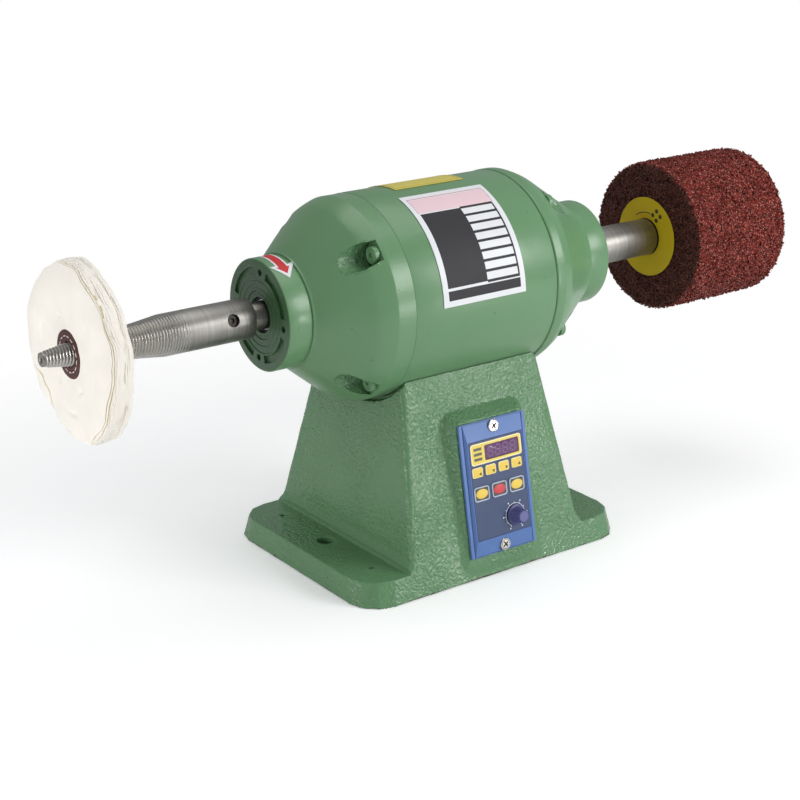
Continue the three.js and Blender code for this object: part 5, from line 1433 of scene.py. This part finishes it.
def stood(shape):
    """A shape along X, stood along Z instead."""
    about = Matrix.Rotation(-math.pi / 2, 3, "Y")
    bmesh.ops.rotate(shape, verts=shape.verts, cent=(0, 0, 0), matrix=about)
    return shape


dome = turned([
    (-14.5, gland_bore), (-14.5, gland_body), (-0.2, gland_body), (0.3, 9.2), (5.3, 9.2),
    (9.3, 9.2), (11.6, 8.6), (13.4, 7.4), (14.3, 6.1), (14.3, gland_bore),
], 72, hollow=True)
eased(dome, 0.3, 2, 30)
flange = cut(rod(0.3, 5.3, hexagon_flats / math.sqrt(3), segments=6), rod(-1, 7, 9))
eased(flange, 0.5, 2, 30)
gland = stood(joined([dome, flange, thread(-14.4, -0.4, 1.5, 0.6, lambda x: 7.8)]))
bmesh.ops.transform(gland, matrix=back_frame(), verts=gland.verts)
settle("cable_gland_moulded", gland, "base", [black_nylon], ["cable_gland"], sharp=30)
dress("gland_locknut", black_nylon)

# ---------------------------------------------------------------------------------------------------
# Controller inside the base: an open moulded box through the casting's cut-out, a green circuit board
# and the potentiometer that the knob turns.

# Epoxy glass board under green solder mask, with a woven tooth.
dress("circuit_board", moulded("green solder mask", "#1f6b3c", "#195c33", 0.4, 0.5, 0.03))
dress("controller_housing", black_nylon)
dress("potentiometer", zinc_plate)

# ---------------------------------------------------------------------------------------------------
# Bezel: a blue ABS moulding, screwed to the pad at its head and foot. A flat rim and a groove run down
# each side, and slopes rise from all round to the printed face.

panel_tilt = 10.0592
panel_place = (-28.6, -91.102, 16.9)
panel_width, panel_height = 60.4, 99.6
face_width, face_height = 49.3, 73.5
face_left, face_foot = 5.55, 12.6
to_panel = Matrix.Translation(panel_place) @ Matrix.Rotation(math.radians(90 - panel_tilt), 4, "X")


def plate_ring(shape, across, up, width, height, corner, z):
    """Adds a flat rounded rectangle about a place on the panel, and returns its face."""
    before = set(shape.faces)
    made = bmesh.ops.create_grid(
        shape, x_segments=1, y_segments=1, size=0.5,
        matrix=Matrix.Translation((across, up, z)) @ Matrix.Diagonal((width, height, 1, 1)),
    )
    bmesh.ops.bevel(
        shape, geom=made["verts"], offset=corner, offset_type="OFFSET", segments=4, profile=0.5,
        affect="VERTICES", clamp_overlap=True, material=-1,
    )
    return [face for face in shape.faces if face not in before][0]


def slab(across, up, width, height, corner, foot, top):
    """A rounded plate that stands on the panel between two heights."""
    shape = bmesh.new()
    face = plate_ring(shape, across, up, width, height, corner, foot)
    bmesh.ops.translate(shape, vec=Vector((0, 0, top - foot)), verts=pulled(shape, [face]))
    bmesh.ops.recalc_face_normals(shape, faces=shape.faces)
    return shape


def lofted(rings):
    """A closed shape through a stack of rounded rectangles, each pulled from the one before."""
    shape = bmesh.new()
    face, last = plate_ring(shape, *rings[0]), rings[0]
    for ring in rings[1:]:
        grown = bmesh.ops.extrude_face_region(shape, geom=[face])
        if last is not rings[0]:
            bmesh.ops.delete(shape, geom=[face], context="FACES_ONLY")
        face = [part for part in grown["geom"] if isinstance(part, bmesh.types.BMFace)][0]
        for vert in face.verts:
            place = []
            for axis in (0, 1):
                away = vert.co[axis] - last[axis]
                side = math.copysign(1, away)
                turn = (away - side * (last[axis + 2] / 2 - last[4])) / last[4]
                place.append(ring[axis] + side * (ring[axis + 2] / 2 - ring[4]) + turn * ring[4])
            vert.co = Vector((*place, ring[5]))
        last = ring
    bmesh.ops.recalc_face_normals(shape, faces=shape.faces)
    return shape


def on_panel(shape):
    """A shape made on the panel's own face, put in its place on the base."""
    bmesh.ops.transform(shape, matrix=to_panel, verts=shape.verts)
    return shape


def stud(across, up, foot, top, radius, segments=48):
    """A round rod that stands on the panel."""
    return moved(stood(rod(foot, top, radius, segments=segments)), x=across, y=up)


def bezel_ring(side_inset, end_inset, z):
    """One outline of the bezel, drawn in from its sides and its ends."""
    return (
        panel_width / 2, panel_height / 2, panel_width - 2 * side_inset, panel_height - 2 * end_inset,
        max(0.9 - end_inset, 0.3), z,
    )


def film_ring(grow, z):
    """One outline round the printed face, grown all round."""
    return (
        face_left + face_width / 2, face_foot + face_height / 2, face_width + 2 * grow,
        face_height + 2 * grow, 0.5, z,
    )


bezel = lofted(
    [
        bezel_ring(0, 0, 0.3), bezel_ring(0, 0, 1.55), bezel_ring(0.14, 0.14, 1.87),
        bezel_ring(0.45, 0.45, 2), bezel_ring(2.7, 0.6, 2.02), bezel_ring(2.85, 0.7, 1.3),
        bezel_ring(3.25, 0.8, 1.3), bezel_ring(3.45, 0.9, 2.05), film_ring(0.75, 3.98),
        film_ring(0.35, 4.1), film_ring(0.05, 4.1), film_ring(0, 2.8),
    ]
)
screw_heights = (5.2, panel_height - 5.2)
for top, radius in ((2.6, 4.75), (-1, 2.2)):
    bezel = cut(bezel, joined([stud(panel_width / 2, up, top, 6, radius) for up in screw_heights]))
# ABS: one clear blue right through, half glossy.
abs_blue = moulded("blue moulded ABS", "#587ab6", "#5072ae", 0.36, 0.7, 0.03)
settle(
    "panel_bezel_moulded", on_panel(bezel), "base", [abs_blue], ["panel_bezel"],
    sharp=20,
)


def panel_screw(up):
    """A nickel-plated pan head screw with a cross recess, its recesses coloured black as painted shade.
    """
    head = turned([
        (-10, 0), (-10, 1.9), (2.9, 1.9), (2.9, 4.6), (3.6, 4.6), (4.1, 4.1), (4.1, 3.6),
        (3.85, 3.5), (3.85, 3.3), (4.15, 3.2), (4.2, 0),
    ], 48)
    head = moved(stood(head), x=panel_width / 2, y=up)
    slot_length, slot_width, slot_depth = 5, 1.15, 2.2
    for turn in (35, 125):
        slot = bmesh.new()
        middle = Matrix.Translation((panel_width / 2, up, 4.6))
        about = Matrix.Rotation(math.radians(turn), 4, "Z")
        block(slot, middle @ about, (slot_length, slot_width, slot_depth))
        head = cut(head, slot)
    # The cross and the ring groove are coloured black: painted shade in the recesses.
    for face in head.faces:
        middle = face.calc_center_median()
        away = math.hypot(middle.x - panel_width / 2, middle.y - up)
        face.material_index = int(3.2 < away < 3.7 or (away < 2.9 and middle.z < 4.1))
    return on_panel(head)


# Nickel plate: a warm white mirror, a little scuffed.
nickel_plate = plain_metal("nickel plated screw", "#d6d4cf", "#c4c1bb", (0.16, 0.3), (2, 2, 2))
for name, up in (("bottom", screw_heights[0]), ("top", screw_heights[1])):
    settle(
        f"panel_screw_{name}_recessed", panel_screw(up), "base",
        [nickel_plate, black_steel_and_recess_shade], [f"panel_screw_{name}"], sharp=28,
    )

# ---------------------------------------------------------------------------------------------------
# Face: a polycarbonate film printed navy behind, with a yellow frame round the display, a white scale
# round the knob, and cut-outs for the window and the keys.

# Windows and keys are given by their middle, width and height on the printed face. Heights are above
# the pad that the bezel stands on.
key_gap = 0.3
film_foot, film_top = 3.1, 4.1
lamp_foot, lamp_top = film_top + 0.09, film_top + 0.16
window = (14.05 + 31.2 / 2, 63.87, 31.2, 10.8)
small_keys = [(0.1136 * face_width + 12 * i, 50.79, 9.7, 7.5) for i in range(4)]
large_keys = [(0.1501 * face_width + 16.2 * i, 34.8, 13.5, 10.7) for i in range(3)]
knob_across, knob_up = 36, 12.3
openings = [window] + small_keys + large_keys


def on_face(across, up):
    """A place on the printed face, as one on the panel."""
    return face_left + across, face_foot + up


middle = on_face(face_width / 2, face_height / 2)
film = slab(*middle, face_width - 2 * key_gap, face_height - 2 * key_gap, 0.4, film_foot, film_top)
holes = [
    slab(*on_face(across, up), width + 2 * key_gap, height + 2 * key_gap, 1.5, 2, 6)
    for across, up, width, height in openings
]
holes.append(stud(*on_face(knob_across, knob_up), 2, 6, 4.3))
film = cut(film, joined(holes))
# Polycarbonate film: printed behind, so that its navy lies under a satin skin.
navy_film = moulded("navy printed polycarbonate film", "#36496f", "#324368", 0.42, 0.9, 0.015)
settle("panel_face_film", on_panel(film), "base", [navy_film], ["panel_face"])

# Screen prints lie in layers on the film: a cream outline, which is a painted highlight along the
# frame's edge, the yellow frame, then the lamps' windows.
frame_across, frame_up = 24.6, 63.9
frame_edge_highlight = moulded("cream painted highlight on the display frame's edge", "#fbf0c0", "#f6e9b4", 0.4, 0.9, 0.015)
yellow_print = moulded("yellow screen print", "#ecd25c", "#e4c84e", 0.4, 0.9, 0.015)
for name, print_width, print_height, corner, foot, ink in (
    ("edge", 46.4, 15.6, 2, film_top, frame_edge_highlight),
    ("print", 44.7, 13.9, 1.3, film_top + 0.05, yellow_print),
):
    middle = on_face(frame_across, frame_up)
    sheet = slab(*middle, print_width, print_height, corner, foot, foot + 0.05)
    hole = slab(*on_face(*window[:2]), window[2] + 0.4, window[3] + 0.4, 1.3, 3.5, 5)
    sheet = on_panel(cut(sheet, hole))
    settle(f"display_frame_{name}", sheet, "base", [ink], weld=0.0001)
slots = joined(
    [slab(*on_face(7.6, frame_up + 3.7 * i), 7.2, 2.1, 0.3, lamp_foot, lamp_top) for i in (-1, 0, 1)]
)
settle(
    "display_lamp_windows", on_panel(slots), "base",
    [moulded("smoked lamp window", "#4f5138", "#45472f", 0.3, 0.9, 0.01)], weld=0.0001,
)


def scale_print():
    """White ticks and dots on an arc round the knob."""
    centre = Vector((*on_face(knob_across, knob_up), 0))
    arc_radius, tick_middle, dot_circle, line_width = 8.7, 9.3, 11, 0.42
    band = bmesh.new()
    bmesh.ops.create_grid(band, x_segments=60, y_segments=1, size=0.5)
    for vert in band.verts:
        turn = math.radians(90 - 300 * vert.co.x)
        radius = arc_radius + line_width * vert.co.y
        vert.co = centre + Vector((radius * math.cos(turn), radius * math.sin(turn), film_top))
    parts = [band]
    for i in range(11):
        turn = math.radians(240 - 30 * i)
        tick = bmesh.new()
        bmesh.ops.create_grid(tick, x_segments=1, y_segments=1, size=0.5)
        spoke = (
            Matrix.Translation(centre)
            @ Matrix.Rotation(turn, 4, "Z")
            @ Matrix.Translation((tick_middle, 0, film_top))
            @ Matrix.Diagonal((1.1, line_width, 1, 1))
        )
        bmesh.ops.transform(tick, matrix=spoke, verts=tick.verts)
        parts.append(tick)
        if i % 2 == 0:
            dot = bmesh.new()
            bmesh.ops.create_circle(dot, cap_ends=True, segments=16, radius=0.58)
            away = Vector((dot_circle * math.cos(turn), dot_circle * math.sin(turn), film_top))
            bmesh.ops.translate(dot, vec=centre + away, verts=dot.verts)
            parts.append(dot)
    flat = joined(parts)
    bmesh.ops.translate(flat, vec=Vector((0, 0, 0.07)), verts=pulled(flat, flat.faces[:]))
    return flat


settle(
    "knob_scale_print", on_panel(scale_print()), "base",
    [moulded("white screen print", "#e4e8f0", "#dce0ea", 0.4, 0.9, 0.01)], weld=0.0001,
)

# ---------------------------------------------------------------------------------------------------
# Display window: a pane of tinted acrylic, dropped into the film's cut-out. Four seven-segment digits
# lie behind it, which are unlit and show faintly.

pane_top = 3.9
digit_foot, digit_top = pane_top - 0.02, pane_top + 0.04
pane = eased(slab(*on_face(*window[:2]), *window[2:], 1.2, film_foot, pane_top), 0.15, 2)
# Acrylic: glossy and smooth, with a violet tint.
tinted_acrylic = moulded("violet tinted acrylic", "#6d4870", "#5f3c62", 0.16, 3, 0.004)
settle(
    "display_window_pane", on_panel(pane), "base", [tinted_acrylic],
    ["display_window"],
)

digit_width, digit_height, digit_pitch, digit_lean = 4.3, 7.2, 6.9, 0.1
bar_width, bar_gap = 0.85, 1.1


def segment(digit, side, up, width, height):
    """One bar of a digit, given by its side and how far up it is, from -1 to 1."""
    rise = up * digit_height / 2
    across = window[0] + (digit - 1.5) * digit_pitch + side * digit_width / 2 + digit_lean * rise
    return slab(*on_face(across, window[1] + rise), width, height, 0.2, digit_foot, digit_top)


digits = []
for i in range(4):
    digits += [segment(i, 0, up, digit_width - bar_gap, bar_width) for up in (-1, 0, 1)]
    digits += [
        segment(i, side, up, bar_width, digit_height / 2 - bar_gap)
        for side in (-1, 1)
        for up in (-0.5, 0.5)
    ]
settle(
    "display_digits", on_panel(joined(digits)), "base",
    [moulded("unlit display segments", "#7d5685", "#74507b", 0.2, 3, 0.004)], weld=0.0001,
)

# ---------------------------------------------------------------------------------------------------
# Keys: four small yellow keys, and three larger ones that each carry an oval dome in a silver frame.
# They are silicone rubber, printed on top, and press in by half a millimetre.

# Silicone rubber: soft-looking and satin, in each key's own colour. The small keys' rounded edges are
# paler, as a painted highlight.
yellow_rubber = moulded("yellow silicone rubber", "#f0cf57", "#e9c64b", 0.45, 0.8, 0.02)
red_rubber = moulded("red silicone rubber", "#d8474d", "#ce3d44", 0.42, 0.8, 0.02)
dark_rubber = moulded("dark silicone rubber", "#47504f", "#404847", 0.5, 0.8, 0.02)
key_edge_highlight = moulded("pale painted highlight on yellow rubber", "#fdf1c2", "#f7e9b2", 0.45, 0.8, 0.02)
# Ink on the keys: a smooth silver, and a dull dark brown.
silver_print = moulded("silver screen print", "#bcc4d4", "#b0b9ca", 0.35, 0.8, 0.02)
key_mark = moulded("dark key print", "#4c4420", "#433c1b", 0.5, 0.8, 0.02)
key_foot, key_top = 3.6, 4.9


def key_stem(across, up):
    """The post under a key, which reaches back to its contact."""
    return stud(*on_face(across, up), -1.2, key_foot + 0.1, 1.6, 24)


for i, (across, up, width, height) in enumerate(small_keys):
    key = eased(slab(*on_face(across, up), width, height, 1.5, key_foot, key_top), 0.8, 3)
    key.normal_update()
    # The rounded edges take the pale cream, a painted highlight.
    for face in key.faces:
        face.material_index = int(0.05 < face.normal.z < 0.97)
    mark = bmesh.new()
    middle = Matrix.Translation((*on_face(across + 2.3, up - 1.2), key_top))
    pin(mark, middle @ Matrix.Rotation(math.pi / 2 * (i + 1), 4, "Z"), 0.1, 1.5, 3)
    for face in mark.faces:
        face.material_index = 2
    settle(
        f"mode_key_{i + 1}_cap", on_panel(joined([key, mark, key_stem(across, up)])),
        f"mode_button_{i + 1}", [yellow_rubber, key_edge_highlight, key_mark],
        [f"mode_key_{i + 1}"],
    )

for name, body, rubber, slot_name, (across, up, width, height) in (
    ("run_key", "run_button", yellow_rubber, "key_yellow", large_keys[0]),
    ("stop_key", "stop_button", red_rubber, "key_red", large_keys[1]),
    ("jog_key", "jog_button", yellow_rubber, "key_yellow", large_keys[2]),
):
    key = slab(*on_face(across, up), width, height, 2, key_foot, key_top)
    top = max(key.faces, key=lambda face: face.calc_center_median().z)
    bmesh.ops.inset_region(key, faces=[top], thickness=0.75)
    top = max(key.faces, key=lambda face: (round(face.calc_center_median().z, 3), face.calc_area()))
    bmesh.ops.inset_region(key, faces=[top], thickness=0.15, depth=-0.2)
    level = [face for face in key.faces if face.normal.z > 0.9]
    min(level, key=lambda face: face.calc_center_median().z).material_index = 1
    dome = bmesh.new()
    bmesh.ops.create_uvsphere(
        dome,
        u_segments=40,
        v_segments=20,
        radius=1,
        matrix=Matrix.Translation((*on_face(across, up), 4.6))
        @ Matrix.Diagonal((width / 2 - 1.3, height / 2 - 1.75, 0.75, 1)),
    )
    for face in dome.faces:
        face.material_index = 2
    settle(
        f"{name}_cap", on_panel(joined([key, dome, key_stem(across, up)])), body,
        [silver_print, dark_rubber, rubber], [name],
    )

# ---------------------------------------------------------------------------------------------------
# Speed knob: a fluted phenolic knob with a thin skirt, moulded in one and pushed on the
# potentiometer's shaft.

skirt_top, knob_top = 5.7, 14.3
flute_count, flute_depth = 18, 0.05
knob = turned([
    (-3.6, 0), (-3.6, 3), (4.7, 3), (4.7, 7.9), (skirt_top - 0.2, 7.9), (skirt_top, 7.6),
    (skirt_top, 6.1), (skirt_top + 0.6, 5.9), (knob_top - 0.5, 4.9), (knob_top, 4.7),
    (knob_top + 0.2, 4.4), (knob_top + 0.2, 4.2), (knob_top, 4), (knob_top, 0),
], 144)
for vert in knob.verts:
    if vert.co.x > skirt_top + 0.2 and 4 < off_axis(vert.co) < 7:
        flute = 0.5 + 0.5 * math.cos(flute_count * math.atan2(vert.co.z, vert.co.y))
        widened(vert, 1 - flute_depth * flute**2)
eased(knob, 0.12, 1, 60)
# Below the grip the knob is darker: painted shade at its foot.
for face in knob.faces:
    face.material_index = int(face.calc_center_median().x > skirt_top - 0.1)
cap = turned(
    [(knob_top - 0.05, 0), (knob_top - 0.05, 3.95), (knob_top + 0.2, 3.95), (knob_top + 0.2, 0)], 48
)


def on_knob_place(shape):
    """A shape made along X, stood on the panel at the knob's place."""
    across, up = on_face(knob_across, knob_up)
    return on_panel(moved(stood(shape), x=across, y=up))


# Phenolic: hard and half glossy, in a navy that is lighter on the fluted grip and its cap. The skirt
# and stem are darker, as painted shade at the knob's foot.
settle("speed_knob_fluted", on_knob_place(knob), "knob", [
    moulded("navy phenolic darkened as painted shade at the foot", "#242649", "#1f2140", 0.38, 0.9, 0.02),
    moulded("navy phenolic", "#484a80", "#414376", 0.38, 0.9, 0.02),
], ["speed_knob"])
settle(
    "speed_knob_cap", on_knob_place(cap), "knob",
    [moulded("violet grey phenolic", "#62649a", "#5b5d92", 0.34, 0.9, 0.02)],
)
